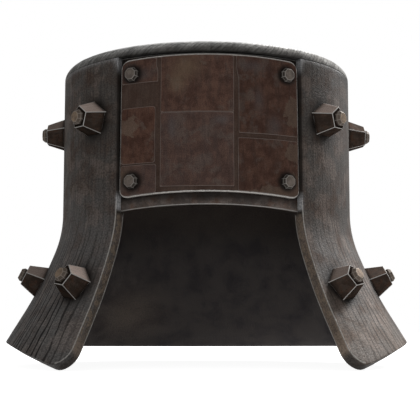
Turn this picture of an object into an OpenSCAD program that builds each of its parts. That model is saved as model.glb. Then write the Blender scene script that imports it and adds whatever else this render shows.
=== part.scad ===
// Executioner's helmet: a thick iron barrel with a flared skirt and an open face,
// a flat crown with a rounded rim, a riveted brow plate and eight bolted five-sided studs.
// -Y is the front, +Z is up and +X is on the right as seen from the front.
// The origin is on the barrel's axis, level with the inner edge of the hem at the back.
// Azimuths are in degrees from the front (-Y), and each side mirrors the other.

/* [Barrel] */
// Outer radius of the barrel
barrel_r = 118; // [105:0.5:135]
// Thickness of the wall, measured square to it
wall_t = 9.3; // [7:0.1:12]
// Height of the top of the wall above the rear hem
wall_top = 219; // [212:1:236]

/* [Flared skirt] */
// Height at which the barrel starts to flare
flare_top = 109; // [98:1:114]
// Radius of the upper, tighter curve of the flare
flare_r1 = 86; // [60:1:110]
// Lean of the wall where the two curves meet
flare_lean1 = 21; // [16:0.5:24]
// Radius of the lower, wider curve of the flare
flare_r2 = 314; // [240:2:360]
// Lean of the straight skirt below the curves
flare_lean2 = 31.4; // [28:0.2:34]

/* [Hem] */
// Height of the outer edge of the hem at the sides
hem_side_z = 6.5; // [0:0.5:12]
// How much lower the outer edge of the hem lies at the back
hem_back_drop = 1.9; // [0:0.1:5]
// How much lower the tips of the cheeks hang than the sides
cheek_drop = 18; // [8:0.5:26]
// Azimuth behind which the hem no longer drops
cheek_back_az = 85; // [70:1:95]
// Radius of the lower front corner of each cheek
cheek_corner_r = 14; // [6:0.5:20]

/* [Face opening] */
// Azimuth of the edges of the wall on either side of the face
opening_az = 35.8; // [31:0.1:38]

/* [Crown] */
// Thickness of the crown plate and radius of its rounded rim
crown_t = 9; // [5:0.5:12]
// Depth of the lip that centres the crown in the barrel
crown_lip_h = 5; // [3:0.5:7]
// Width of the lip
crown_lip_w = 4; // [2.5:0.5:6]
// Number of flush rivets that hold the crown to the wall
crown_rivet_count = 7; // [5:1:9]
// Azimuth of the first crown rivet on either side
crown_rivet_az = 60; // [50:1:80]
// Radius of a crown rivet's shank
crown_rivet_r = 1.8; // [1.2:0.1:2.4]
// Radius of a crown rivet's countersunk head
crown_rivet_head_r = 3.2; // [2.6:0.1:3.8]
// Depth to which a crown rivet reaches into the wall
crown_rivet_grip = 14; // [8:1:20]

/* [Brow band] */
// Thickness of the band that bridges the face opening at the brow
band_t = 3.1; // [2:0.1:4.5]
// How far the middle of the band's lower edge lies below the start of the flare
band_drop = 2.6; // [0:0.2:5]
// How much lower that edge lies at the ends of the opening
band_arch = 3.1; // [0.5:0.1:6]
// Azimuth by which the band's ends run on behind the upper front studs
band_past_az = 6.2; // [5:0.2:8]

/* [Brow plate] */
// Thickness of the brow plate
plate_t = 3.8; // [2.5:0.1:5]
// Width of the joint between the plate and the wall on either side
plate_side_gap = 1.2; // [1:0.1:4]
// Gap between the crown and the middle of the plate's upper edge
plate_top_gap = 1.6; // [1:0.1:5]
// How much lower the plate's upper corners lie
plate_top_arch = 1.6; // [0.5:0.1:5]
// Height of the middle of the plate's lower edge above that of the band
plate_low_step = 8.8; // [6:0.2:14]
// How much lower the plate's lower corners lie
plate_low_arch = 3.4; // [0.5:0.1:5]
// Radius of the plate's corners
plate_corner_r = 4; // [2:0.5:7]

/* [Sheets on the brow plate] */
// Thickness of the thin sheets laid over the plate
sheet_t = 0.5; // [0.3:0.1:0.9]
// Margin between the sheets and the plate's own edges
sheet_margin = 1; // [0.5:0.1:3]
// Width of the upright joints between the columns of sheets
column_joint = 2; // [1:0.2:4]
// Width of the narrow joint between two sheets of one column
row_joint = 0.8; // [0.5:0.1:1.5]
// Distance of the left upright joint from the middle
left_joint_x = 37.4; // [34:0.2:42]
// Distance of the right upright joint from the middle
right_joint_x = 18.4; // [14:0.2:24]
// How much narrower the middle sheet of the left column is
left_sheet_inset = 1.8; // [0:0.2:4]
// Depth of the upper left sheet below the plate's upper edge
left_upper_h = 19.9; // [16:0.1:24]
// Depth at which the middle left sheet starts
left_middle_z = 38.1; // [32:0.1:44]
// Depth of the joint between the middle and lower left sheets
left_joint_z = 80.7; // [70:0.1:84]
// Depth of the joint between the middle column's two sheets
middle_joint_z = 43.8; // [36:0.1:60]
// Depth at which the upper right sheet ends
right_upper_h = 58.8; // [50:0.1:66]
// Width of the level joint in the right column
right_joint_w = 3.3; // [1:0.1:5]

/* [Brow rivets] */
// Distance along the plate from its side to a brow rivet
brow_rivet_side = 11.2; // [8:0.2:16]
// Depth of the upper brow rivets below the plate's upper edge
brow_rivet_top = 12.9; // [12:0.1:15]
// Height of the lower brow rivets above the plate's lower edge
brow_rivet_low = 9.1; // [8:0.1:12]
// Radius over the corners of a brow rivet's eight-sided head
brow_head_r = 5.6; // [3.8:0.1:6]
// Height of that head
brow_head_h = 4; // [2:0.1:5]
// Radius of a brow rivet's shank
brow_shank_r = 2.4; // [1.6:0.1:2.8]

/* [Studs] */
// Radius over the corners of a stud's five-sided base
stud_base_r = 14.2; // [11:0.2:15]
// Radius over the corners of its tip
stud_tip_r = 9.1; // [8:0.1:10.5]
// Height of a stud above the wall
stud_h = 14.4; // [10:0.2:19]
// Azimuth of the upper front studs behind the edge of the face opening
upper_front_back = 12; // [10.5:0.1:14]
// Height of the upper front studs
upper_front_z = 174.5; // [168:0.5:178]
// Azimuth of the upper side studs
upper_side_az = 90; // [84:0.5:96]
// Height of the upper side studs
upper_side_z = 176.5; // [172:0.5:180]
// Azimuth of the lower front studs behind the edge of the face opening
lower_front_back = 9.5; // [8:0.1:12]
// Height of the lower front studs
lower_front_z = 48.5; // [44:0.5:54]
// Azimuth of the lower side studs
lower_side_az = 80.4; // [74:0.2:86]
// Height of the lower side studs
lower_side_z = 52.5; // [46:0.5:56]
// Turn of the lower front studs about their own axes
lower_front_twist = 9.5; // [0:0.5:15]
// Turn of the lower side studs about their own axes
lower_side_twist = 3.5; // [0:0.5:15]

/* [Stud rivets] */
// Radius over the corners of a stud rivet's eight-sided head
stud_head_r = 5.9; // [5:0.1:7.2]
// Height of that head above the stud's tip
stud_head_h = 4; // [2:0.1:4.5]
// Radius of a stud rivet's shank
stud_shank_r = 3; // [2:0.1:3.6]
// Radius of the round washer inside the wall
stud_washer_r = 8; // [6.5:0.5:10]
// Thickness of every washer inside the wall
washer_t = 1.6; // [1:0.1:2.2]
// Height of a rivet's peened tail on its washer
tail_h = 1.5; // [1:0.1:2.2]

/* [Lining] */
// Thickness of the leather lining band
lining_t = 2.4; // [1.6:0.1:3]
// Height of the lining band from edge to edge
lining_h = 45; // [38:1:50]
// Gap between the lining band and the brow washers above it
lining_top_gap = 4.7; // [2:0.1:8]
// Azimuth of the two lining rivets beside the one at the back
lining_rivet_az = 126; // [110:1:140]
// Radius of a lining rivet's low round head
lining_head_r = 4.2; // [3:0.1:5]
// Height of that head
lining_head_h = 1.6; // [1:0.1:2.2]
// Radius of a lining rivet's shank
lining_shank_r = 1.8; // [1.2:0.1:2.2]
// Radius of a lining rivet's washer
lining_washer_r = 5.8; // [4.5:0.1:7]
// Thickness of the padded crown lining at its middle
pad_t = 12; // [9:1:14]
// How much thinner the padding is at its edge
pad_bulge = 3; // [1:0.5:4]
// Rounding of the padding's lower edge
pad_edge_r = 4; // [2:0.5:4.5]

/* [Hidden] */
$fn = 96;
// Share of a head's height that stands upright before it slopes in, and the share of its radius left on top
head_upright = 0.45;
brow_head_top = 0.8;
stud_head_top = 0.72;
// Clearance between a rivet's shank and its hole
hole_gap = 0.1;
// Clearance between pieces that seat on each other
seat_gap = 0.1;
// Clearance round the padded crown lining
pad_gap = 0.6;
// Clearance below and at the ends of the seat that is let into the wall for the band
rebate_gap = 0.8;
// Length by which cutting shapes pass through a surface
cut = 4;
// Angle between the sampled points of the flare's curves
lean_step = 2.6;
// Number of flat faces along the hem of the whole skirt
hem_steps = 72;
// Points on each rounded corner of a sheet outline
corner_steps = 5;

inner_r = barrel_r - wall_t;
band_r = inner_r + band_t;
plate_in_r = band_r + seat_gap;
plate_out_r = plate_in_r + plate_t;
sheet_out_r = plate_out_r + sheet_t;
crown_top = wall_top + crown_t;
lining_out_r = inner_r - seat_gap;
lining_in_r = lining_out_r - lining_t;
pad_r = inner_r - seat_gap - crown_lip_w - pad_gap;
rivet_mid_r = barrel_r - wall_t / 2;

upper_front_az = opening_az + upper_front_back;
lower_front_az = opening_az + lower_front_back;
band_end_az = upper_front_az + band_past_az;
plate_az = opening_az - asin(plate_side_gap / plate_out_r);
brow_rivet_az = plate_az - asin(brow_rivet_side / plate_out_r);

band_low_z = flare_top - band_drop;
plate_low_z = band_low_z + plate_low_step;
plate_top_z = wall_top - plate_top_gap;
brow_rivet_top_z = plate_top_z - brow_rivet_top;
brow_rivet_low_z = plate_low_z + brow_rivet_low;
brow_washer_r = 2.4 * brow_shank_r;
lining_top_z = brow_rivet_top_z - brow_washer_r - lining_top_gap;
lining_low_z = lining_top_z - lining_h;
lining_rivet_z = (lining_top_z + lining_low_z) / 2;

iron = [0.29, 0.27, 0.25];
edge_iron = [0.33, 0.27, 0.22];
rust_iron = [0.32, 0.21, 0.17];
stud_iron = [0.26, 0.21, 0.18];
head_iron = [0.42, 0.38, 0.33];
leather = [0.25, 0.16, 0.10];
felt = [0.20, 0.17, 0.14];

// Heights and radii on the outer face where one curve of the flare gives way to the next
z_join = flare_top - flare_r1 * sin(flare_lean1);
r_join = barrel_r + flare_r1 * (1 - cos(flare_lean1));
z_skirt = z_join - flare_r2 * (sin(flare_lean2) - sin(flare_lean1));
r_skirt = r_join + flare_r2 * (cos(flare_lean1) - cos(flare_lean2));
// Height of the outer edge of the skirt before it is trimmed
z_blank = hem_side_z - cheek_drop - hem_back_drop - 2 * cut;

// Lean of the outer face from upright at a height, and its radius there
function lean_at(z) =
    z >= flare_top ? 0 :
    z >= z_join ? asin((flare_top - z) / flare_r1) :
    z >= z_skirt ? asin(sin(flare_lean1) + (z_join - z) / flare_r2) : flare_lean2;
function radius_at(z) =
    z >= flare_top ? barrel_r :
    z >= z_join ? barrel_r + flare_r1 * (1 - cos(lean_at(z))) :
    z >= z_skirt ? r_join + flare_r2 * (cos(flare_lean1) - cos(lean_at(z))) :
    r_skirt + (z_skirt - z) * tan(flare_lean2);

// The outer face as [radius, height, lean] from the top of the wall to the blank's edge
steps1 = ceil(flare_lean1 / lean_step);
steps2 = ceil((flare_lean2 - flare_lean1) / lean_step);
outer_path = concat(
    [[barrel_r, wall_top, 0], [barrel_r, flare_top, 0]],
    [for (i = [1 : steps1]) let (a = flare_lean1 * i / steps1)
        [barrel_r + flare_r1 * (1 - cos(a)), flare_top - flare_r1 * sin(a), a]],
    [for (i = [1 : steps2]) let (a = flare_lean1 + (flare_lean2 - flare_lean1) * i / steps2)
        [r_join + flare_r2 * (cos(flare_lean1) - cos(a)),
         z_join - flare_r2 * (sin(a) - sin(flare_lean1)), a]],
    [[radius_at(z_blank), z_blank, flare_lean2]]);

// The same face set in by a depth, square to the wall
function set_in(depth) = [for (p = outer_path) [p[0] - depth * cos(p[2]), p[1] - depth * sin(p[2])]];
function reversed(list) = [for (i = [len(list) - 1 : -1 : 0]) list[i]];

// Height of the outer edge of the hem at an azimuth from 0 to 360
function from_front(az) = az > 180 ? 360 - az : az;
function hem_at(az) = let (a = max(from_front(az), opening_az))
    a < cheek_back_az
        ? hem_side_z - cheek_drop * pow((cheek_back_az - a) / (cheek_back_az - opening_az), 2)
        : hem_side_z - hem_back_drop * (1 - cos(180 * (a - cheek_back_az) / (180 - cheek_back_az))) / 2;

function arc(cx, cy, r, from, to, steps) =
    [for (i = [0 : steps]) let (a = from + (to - from) * i / steps) [cx + r * cos(a), cy + r * sin(a)]];

// Places a shape on the outer face: local Z points out of the wall and local Y up along it
module on_wall(az, z) {
    rotate([0, 0, az]) translate([0, -radius_at(z), z]) rotate([90 - lean_at(z), 0, 0]) children();
}

// Places a shape on an upright face of another radius
module on_barrel(az, z, r) {
    rotate([0, 0, az]) translate([0, -r, z]) rotate([90, 0, 0]) children();
}

module both_sides() {
    children();
    mirror([1, 0, 0]) children();
}

// A curved sheet between two radii, over an azimuth on either side of the front
module sheet(r_in, r_out, half_az, low, high) {
    rotate([0, 0, -90 - half_az])
        rotate_extrude(angle = 2 * half_az)
            translate([r_in, low]) square([r_out - r_in, high - low]);
}

// An outline drawn in the front view, where x is across and y is up, carried through the front
module front_view() {
    rotate([90, 0, 0]) linear_extrude(height = 2 * barrel_r) children();
}

// The places of the studs on one side: azimuth, height and turn
upper_front = [upper_front_az, upper_front_z, 0];
upper_side = [upper_side_az, upper_side_z, 0];
lower_front = [lower_front_az, lower_front_z, lower_front_twist];
lower_side = [lower_side_az, lower_side_z, lower_side_twist];
upper_places = [upper_front, upper_side];
lower_places = [lower_front, lower_side];
stud_places = concat(upper_places, lower_places);

lining_azimuths = [180, lining_rivet_az, -lining_rivet_az];
crown_step = (360 - 2 * crown_rivet_az) / (crown_rivet_count - 1);
crown_azimuths = [for (i = [0 : crown_rivet_count - 1]) crown_rivet_az + crown_step * i];
brow_heights = [brow_rivet_top_z, brow_rivet_low_z];

module wall_blank() {
    rotate_extrude() polygon(concat(set_in(0), reversed(set_in(wall_t))));
}

// The wall and the space that it encloses, grown by a clearance
module wall_envelope(grow) {
    rotate_extrude() polygon(concat(set_in(-grow), [[0, z_blank], [0, wall_top]]));
}

module face_wedge() {
    reach = 2 * barrel_r;
    rotate([0, 0, -90])
        linear_extrude(height = 2 * (wall_top - z_blank), center = true)
            polygon([[0, 0], reach * [cos(opening_az), sin(opening_az)], [1.3 * reach, 0],
                     reach * [cos(opening_az), -sin(opening_az)]]);
}

// Everything below the hem: a ring whose upper face stays square to the skirt
module below_hem() {
    outward = [cos(flare_lean2), sin(flare_lean2)];
    down = [sin(flare_lean2), -cos(flare_lean2)];
    drop = 3 * cut + cheek_drop + hem_back_drop + hem_side_z;
    points = [for (i = [0 : hem_steps - 1]) let (az = 360 * i / hem_steps, z = hem_at(az))
        let (edge = [radius_at(z), z])
        for (q = [edge + cut * outward, edge - (wall_t + cut) * outward,
                  edge - (wall_t + cut) * outward + drop * down, edge + cut * outward + drop * down])
            [q[0] * sin(az), -q[0] * cos(az), q[1]]];
    faces = [for (i = [0 : hem_steps - 1], k = [0 : 3])
        let (a = 4 * i + k, b = 4 * i + (k + 1) % 4)
        let (c = 4 * ((i + 1) % hem_steps) + (k + 1) % 4, d = 4 * ((i + 1) % hem_steps) + k)
        for (t = [[a, b, c], [a, c, d]]) t];
    polyhedron(points, faces);
}

// What the rounding takes off the lower front corner of a cheek, as a bar square to the skirt
module cheek_corner() {
    z = hem_at(opening_az);
    rise = 2 * cheek_drop / (cheek_back_az - opening_az) / cos(flare_lean2);
    run = radius_at(z) * PI / 180;
    slope = atan(rise / run);
    c = [cheek_corner_r, cheek_corner_r * (1 + sin(slope)) / cos(slope)];
    touch = c + cheek_corner_r * [sin(slope), -cos(slope)];
    on_wall(opening_az, z)
        translate([0, 0, -wall_t - cut]) linear_extrude(height = wall_t + 2 * cut)
            difference() {
                polygon([[-cut, c[1]], c, touch, touch + 2 * cut * [sin(slope), -cos(slope)],
                         [-cut, -3 * cut]]);
                translate(c) circle(r = cheek_corner_r);
            }
}

module shell() {
    color(iron) difference() {
        wall_blank();
        face_wedge();
        below_hem();
        both_sides() cheek_corner();
        sheet(inner_r - cut, band_r + seat_gap, band_end_az + asin(rebate_gap / band_r),
              band_low_z - band_arch - rebate_gap, wall_top + cut);
        both_sides() for (p = stud_places) on_wall(p[0], p[1])
            translate([0, 0, -2 * wall_t]) cylinder(h = 3 * wall_t, r = stud_shank_r + hole_gap);
        for (az = lining_azimuths) on_wall(az, lining_rivet_z)
            translate([0, 0, -2 * wall_t]) cylinder(h = 3 * wall_t, r = lining_shank_r + hole_gap);
        for (az = crown_azimuths) rotate([0, 0, az])
            translate([0, -rivet_mid_r, wall_top - crown_rivet_grip])
                cylinder(h = crown_rivet_grip + cut, r = crown_rivet_r + hole_gap);
    }
}

// Half the crown's section, with a quarter round for its rim
module crown_section() {
    translate([0, wall_top]) square([barrel_r - crown_t, crown_t]);
    translate([barrel_r - crown_t, wall_top]) intersection() {
        circle(r = crown_t);
        square([crown_t, crown_t]);
    }
}

// A rivet through the crown's rim and into the wall, left long at the top
module crown_rivet(gap) {
    neck_h = crown_rivet_head_r - crown_rivet_r;
    // Height at which the rounded rim passes the outermost point of the head
    rim_x = min(rivet_mid_r + crown_rivet_head_r - barrel_r + crown_t, 0.95 * crown_t);
    head_z = wall_top + 0.9 * sqrt(crown_t * crown_t - rim_x * rim_x);
    translate([0, -rivet_mid_r, 0]) {
        translate([0, 0, wall_top - crown_rivet_grip])
            cylinder(h = crown_rivet_grip + crown_t + cut, r = crown_rivet_r + gap);
        translate([0, 0, head_z - neck_h])
            cylinder(h = neck_h, r1 = crown_rivet_r + gap, r2 = crown_rivet_head_r + gap);
        translate([0, 0, head_z]) cylinder(h = crown_t + cut, r = crown_rivet_head_r + gap);
    }
}

module crown_plate() {
    color(iron) difference() {
        rotate_extrude() {
            crown_section();
            translate([inner_r - seat_gap - crown_lip_w, wall_top - crown_lip_h])
                square([crown_lip_w, crown_lip_h]);
        }
        for (az = crown_azimuths) rotate([0, 0, az]) crown_rivet(hole_gap);
    }
}

// The heads are filed down level with the rounded rim
module crown_rivets() {
    low = wall_top - crown_rivet_grip - cut;
    color(iron) intersection() {
        for (az = crown_azimuths) rotate([0, 0, az]) crown_rivet(0);
        rotate_extrude() {
            crown_section();
            translate([0, low]) square([barrel_r, wall_top - low]);
        }
    }
}

// Front view of the brow band: its lower edge is a shallow arch
module band_outline() {
    half = band_r;
    end_x = band_r * sin(opening_az);
    low = band_low_z - band_arch;
    arch_r = (end_x * end_x + band_arch * band_arch) / (2 * band_arch);
    span = asin(end_x / arch_r);
    polygon(concat([[half, wall_top], [-half, wall_top], [-half, low]],
                   reversed(arc(0, band_low_z - arch_r, arch_r, 90 - span, 90 + span, 12)),
                   [[half, low]]));
}

module brow_holes() {
    for (z = brow_heights) on_barrel(brow_rivet_az, z, barrel_r)
        translate([0, 0, -2 * wall_t]) cylinder(h = 3 * wall_t, r = brow_shank_r + hole_gap);
}

module brow_band() {
    color(edge_iron) difference() {
        intersection() {
            sheet(inner_r, band_r, band_end_az, band_low_z - band_arch, wall_top - seat_gap);
            front_view() band_outline();
        }
        both_sides() {
            on_wall(upper_front_az, upper_front_z) translate([0, 0, -2 * wall_t])
                cylinder(h = 2 * wall_t, r = stud_shank_r + hole_gap);
            brow_holes();
        }
    }
}

// Half the plate's width in the front view, and the heights of its arched edges there
plate_half = plate_out_r * sin(plate_az);
function plate_top_at(x) = plate_top_z - plate_top_arch * pow(x / plate_half, 2);
function plate_low_at(x) = plate_low_z - plate_low_arch * pow(x / plate_half, 2);

module plate_outline() {
    r = plate_corner_r;
    steps = 10;
    inner = plate_half - r;
    polygon(concat(
        [for (i = [0 : steps]) let (x = inner - 2 * inner * i / steps) [x, plate_top_at(x)]],
        arc(-inner, plate_top_at(-inner) - r, r, 90, 180, corner_steps),
        arc(-inner, plate_low_at(-inner) + r, r, 180, 270, corner_steps),
        [for (i = [0 : steps]) let (x = 2 * inner * i / steps - inner) [x, plate_low_at(x)]],
        arc(inner, plate_low_at(inner) + r, r, -90, 0, corner_steps),
        arc(inner, plate_top_at(inner) - r, r, 0, 90, corner_steps)));
}

// A sheet's outline between two edges across and two up, with a rounding at each corner
module sheet_outline(x0, x1, low, high, r) {
    polygon(concat(arc(x1 - r, high - r, r, 0, 90, corner_steps),
                   arc(x0 + r, high - r, r, 90, 180, corner_steps),
                   arc(x0 + r, low + r, r, 180, 270, corner_steps),
                   arc(x1 - r, low + r, r, 270, 360, corner_steps)));
}

// The sheets as left, right, low and high edges and corner radius, in the front view
sheet_side = plate_half - sheet_margin;
left_edge = -left_joint_x - column_joint / 2;
middle_left = -left_joint_x + column_joint / 2;
middle_right = right_joint_x - column_joint / 2;
right_edge = right_joint_x + column_joint / 2;
sheet_low = plate_low_z - plate_low_arch;
sheets = [
    [-sheet_side, left_edge, plate_top_z - left_upper_h, plate_top_z, 0.6],
    [-sheet_side, left_edge - left_sheet_inset, plate_top_z - left_joint_z + row_joint / 2,
     plate_top_z - left_middle_z, 2],
    [-sheet_side, left_edge - left_sheet_inset / 2, sheet_low,
     plate_top_z - left_joint_z - row_joint / 2, 1.5],
    [middle_left, middle_right, plate_top_z - middle_joint_z + row_joint / 2, plate_top_z, 0.6],
    [middle_left, middle_right, plate_low_z + 4 * sheet_margin,
     plate_top_z - middle_joint_z - row_joint / 2, 0.6],
    [right_edge, sheet_side, plate_top_z - right_upper_h, plate_top_z, 1],
    [right_edge, sheet_side, sheet_low, plate_top_z - right_upper_h - right_joint_w, 1]];

module brow_plate() {
    color(rust_iron) difference() {
        union() {
            intersection() {
                sheet(plate_in_r, plate_out_r, plate_az, sheet_low - cut, plate_top_z);
                front_view() plate_outline();
            }
            intersection() {
                sheet(plate_out_r - sheet_t, sheet_out_r, plate_az, sheet_low - cut, plate_top_z);
                front_view() intersection() {
                    translate([0, -sheet_margin]) plate_outline();
                    translate([0, sheet_margin]) plate_outline();
                    union() for (s = sheets) sheet_outline(s[0], s[1], s[2], s[3], s[4]);
                }
            }
        }
        both_sides() brow_holes();
    }
}

// An eight-sided head with bevelled corners, standing on z = 0
module octagon_head(r, h, top) {
    rotate([0, 0, 22.5]) {
        cylinder(h = h * head_upright, r = r, $fn = 8);
        translate([0, 0, h * head_upright])
            cylinder(h = h * (1 - head_upright), r1 = r, r2 = r * top, $fn = 8);
    }
}

// The peened end of a shank: its face with the washer is at z = 0 and it grows downwards
module peened_tail(r) {
    translate([0, 0, -tail_h]) cylinder(h = tail_h, r1 = r * 1.05, r2 = r * 1.6);
}

module washer(r, hole_r) {
    translate([0, 0, -washer_t]) difference() {
        cylinder(h = washer_t, r = r);
        translate([0, 0, -cut]) cylinder(h = washer_t + 2 * cut, r = hole_r + hole_gap);
    }
}

// How far a flat washer stands off the hollow face that its sides bear on
function stand_off(hollow_r, r) = hollow_r - sqrt(hollow_r * hollow_r - r * r) + 0.05;
brow_washer_in = stand_off(inner_r, brow_washer_r);
upper_washer_depth = barrel_r - lining_in_r + stand_off(lining_in_r, stud_washer_r);
lower_washer_depth = wall_t + stand_off(inner_r, stud_washer_r);
lining_washer_depth = barrel_r - lining_in_r + stand_off(lining_in_r, lining_washer_r);

module brow_rivets() {
    length = sheet_out_r - inner_r + brow_washer_in + washer_t + seat_gap;
    color(head_iron) both_sides() for (z = brow_heights)
        on_barrel(brow_rivet_az, z, sheet_out_r + seat_gap) {
            octagon_head(brow_head_r, brow_head_h, brow_head_top);
            translate([0, 0, -length]) {
                cylinder(h = length, r = brow_shank_r);
                peened_tail(brow_shank_r);
            }
        }
}

module brow_washers() {
    color(stud_iron) both_sides() for (z = brow_heights)
        on_barrel(brow_rivet_az, z, inner_r - brow_washer_in) washer(brow_washer_r, brow_shank_r);
}

// A five-sided block with one corner up, hollowed to the face that it seats on
module stud(place) {
    sink = wall_t / 3;
    spread = (stud_base_r - stud_tip_r) / stud_h * sink;
    color(stud_iron) difference() {
        on_wall(place[0], place[1]) rotate([0, 0, 90 + place[2]])
            translate([0, 0, -sink])
                cylinder(h = stud_h + sink, r1 = stud_base_r + spread, r2 = stud_tip_r, $fn = 5);
        wall_envelope(seat_gap);
        on_wall(place[0], place[1]) translate([0, 0, -wall_t])
            cylinder(h = stud_h + 2 * wall_t, r = stud_shank_r + hole_gap);
    }
}

module stud_rivet(place, depth) {
    on_wall(place[0], place[1]) {
        translate([0, 0, stud_h + seat_gap]) octagon_head(stud_head_r, stud_head_h, stud_head_top);
        translate([0, 0, -depth - washer_t]) {
            cylinder(h = depth + washer_t + stud_h + seat_gap, r = stud_shank_r);
            peened_tail(stud_shank_r);
        }
    }
}

module stud_rivets() {
    color(head_iron) both_sides() {
        for (p = upper_places) stud_rivet(p, upper_washer_depth);
        for (p = lower_places) stud_rivet(p, lower_washer_depth);
    }
}

module stud_washers() {
    color(stud_iron) both_sides() {
        for (p = upper_places) on_wall(p[0], p[1])
            translate([0, 0, -upper_washer_depth]) washer(stud_washer_r, stud_shank_r);
        for (p = lower_places) on_wall(p[0], p[1])
            translate([0, 0, -lower_washer_depth]) washer(stud_washer_r, stud_shank_r);
    }
}

module lining_band() {
    color(leather) difference() {
        rotate_extrude() translate([lining_in_r, lining_low_z]) square([lining_t, lining_h]);
        both_sides() for (p = upper_places) on_wall(p[0], p[1])
            translate([0, 0, -3 * wall_t]) cylinder(h = 3 * wall_t, r = stud_shank_r + hole_gap);
        for (az = lining_azimuths) on_wall(az, lining_rivet_z)
            translate([0, 0, -3 * wall_t]) cylinder(h = 3 * wall_t, r = lining_shank_r + hole_gap);
    }
}

module lining_rivets() {
    dome_r = (lining_head_r * lining_head_r + lining_head_h * lining_head_h) / (2 * lining_head_h);
    color(head_iron) for (az = lining_azimuths) on_wall(az, lining_rivet_z) {
        translate([0, 0, seat_gap]) rotate_extrude() intersection() {
            translate([0, lining_head_h - dome_r]) circle(r = dome_r);
            square([lining_head_r, lining_head_h]);
        }
        translate([0, 0, -lining_washer_depth - washer_t]) {
            cylinder(h = lining_washer_depth + washer_t + seat_gap, r = lining_shank_r);
            peened_tail(lining_shank_r);
        }
    }
}

module lining_washers() {
    color(stud_iron) for (az = lining_azimuths) on_wall(az, lining_rivet_z)
        translate([0, 0, -lining_washer_depth]) washer(lining_washer_r, lining_shank_r);
}

// A padded round inside the crown's lip: its underside swells towards the middle
module crown_lining() {
    top = wall_top - seat_gap;
    side_low = top - pad_t + pad_bulge;
    flat = pad_r - pad_edge_r;
    color(felt) rotate_extrude() polygon(concat(
        [[0, top], [pad_r, top]], arc(flat, side_low + pad_edge_r, pad_edge_r, 0, -90, 6),
        [for (i = [1 : 8]) let (x = flat * (1 - i / 8))
            [x, side_low - pad_bulge * (1 - pow(x / flat, 2))]]));
}

shell();
crown_plate();
crown_rivets();
brow_band();
brow_plate();
brow_rivets();
brow_washers();
mirror([1, 0, 0]) stud(upper_front);  // upper_stud_front_left
stud(upper_front);  // upper_stud_front_right
mirror([1, 0, 0]) stud(upper_side);  // upper_stud_side_left
stud(upper_side);  // upper_stud_side_right
mirror([1, 0, 0]) stud(lower_front);  // lower_stud_front_left
stud(lower_front);  // lower_stud_front_right
mirror([1, 0, 0]) stud(lower_side);  // lower_stud_side_left
stud(lower_side);  // lower_stud_side_right
stud_rivets();
stud_washers();
lining_band();
lining_rivets();
lining_washers();
crown_lining();
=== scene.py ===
# %% [markdown]
# # An executioner's iron helmet
# The real thing is a thick iron barrel that flares into a skirt, open at the face. A flat crown with a
# rounded rim closes the top, a rusty brow plate is riveted over the face opening, and eight five-sided studs
# stand on the wall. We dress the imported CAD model: it is the fixed frame, so every number below is in its
# millimetres and in its axes (-Y is the front, +Z is up).

import math
from functools import partial

import bmesh
import bpy
import numpy as np
from mathutils import Matrix, Vector
from mathutils.kdtree import KDTree


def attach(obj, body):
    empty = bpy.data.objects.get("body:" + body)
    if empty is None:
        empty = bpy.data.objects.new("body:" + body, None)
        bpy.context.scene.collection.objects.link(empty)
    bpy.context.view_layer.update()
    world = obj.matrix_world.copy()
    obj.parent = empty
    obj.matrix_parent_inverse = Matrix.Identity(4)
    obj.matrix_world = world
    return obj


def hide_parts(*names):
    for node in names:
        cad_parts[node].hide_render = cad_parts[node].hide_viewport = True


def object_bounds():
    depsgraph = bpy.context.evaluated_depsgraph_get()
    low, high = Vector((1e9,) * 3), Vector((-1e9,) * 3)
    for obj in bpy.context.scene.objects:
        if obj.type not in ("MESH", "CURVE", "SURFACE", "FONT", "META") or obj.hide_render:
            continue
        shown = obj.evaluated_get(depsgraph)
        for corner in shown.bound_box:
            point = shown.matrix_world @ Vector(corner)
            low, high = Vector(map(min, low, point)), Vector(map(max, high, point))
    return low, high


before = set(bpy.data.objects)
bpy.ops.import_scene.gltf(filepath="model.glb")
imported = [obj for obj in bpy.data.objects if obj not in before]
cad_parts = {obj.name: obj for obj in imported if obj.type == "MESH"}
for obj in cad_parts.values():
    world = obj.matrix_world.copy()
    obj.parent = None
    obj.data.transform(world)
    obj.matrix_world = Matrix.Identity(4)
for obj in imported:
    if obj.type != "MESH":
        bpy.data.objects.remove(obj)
cad_low, cad_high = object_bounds()
mm = 0.001
print("CAD box in mm:", [round(c / mm, 1) for c in (*cad_low, *cad_high)])

# %% [markdown]
# ## The camera
# The photograph was taken from in front and from a little below, with a fairly long lens. The lens, the place
# and the tilt were worked out from the outline, the rivets and the edges of the face opening.

# %% Camera
LENS, TILT_UP, SWING = 90.68, 6.47, -1.5
STAND = Vector((-20.0, -873.3, 15.7))
camera = bpy.data.objects.new("camera", bpy.data.cameras.new("camera"))
bpy.context.scene.collection.objects.link(camera)
bpy.context.scene.camera = camera
camera.data.sensor_width, camera.data.lens = 36, LENS
camera.data.clip_start, camera.data.clip_end = 0.05, 30
camera.location = STAND * mm
camera.rotation_euler = (math.radians(90 + TILT_UP), 0, math.radians(SWING))
print("camera lens", LENS)

# %% [markdown]
# ## Node helpers
# Shader trees and geometry trees take the same kind of node, so one short helper adds a node and fills its
# sockets, and a second one writes sums. Others make the named inputs and outputs of a group, and the few
# patterns that every finish starts from.

# %% Helpers for node trees
def put(tree, kind, sockets=None, **settings):
    made = tree.nodes.new(kind)
    for key, value in settings.items():
        setattr(made, key, value)
    for key, value in (sockets or {}).items():
        if isinstance(value, bpy.types.NodeSocket):
            tree.links.new(value, made.inputs[key])
        else:
            made.inputs[key].default_value = value
    return made


def sum_of(tree, operation, *values, clamp=False):
    return put(tree, "ShaderNodeMath", dict(enumerate(values)), operation=operation, use_clamp=clamp).outputs[0]


def maths(tree):
    """Short names for the sums of one tree."""
    return [partial(sum_of, tree, kind) for kind in ("ADD", "SUBTRACT", "MULTIPLY")]


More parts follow.
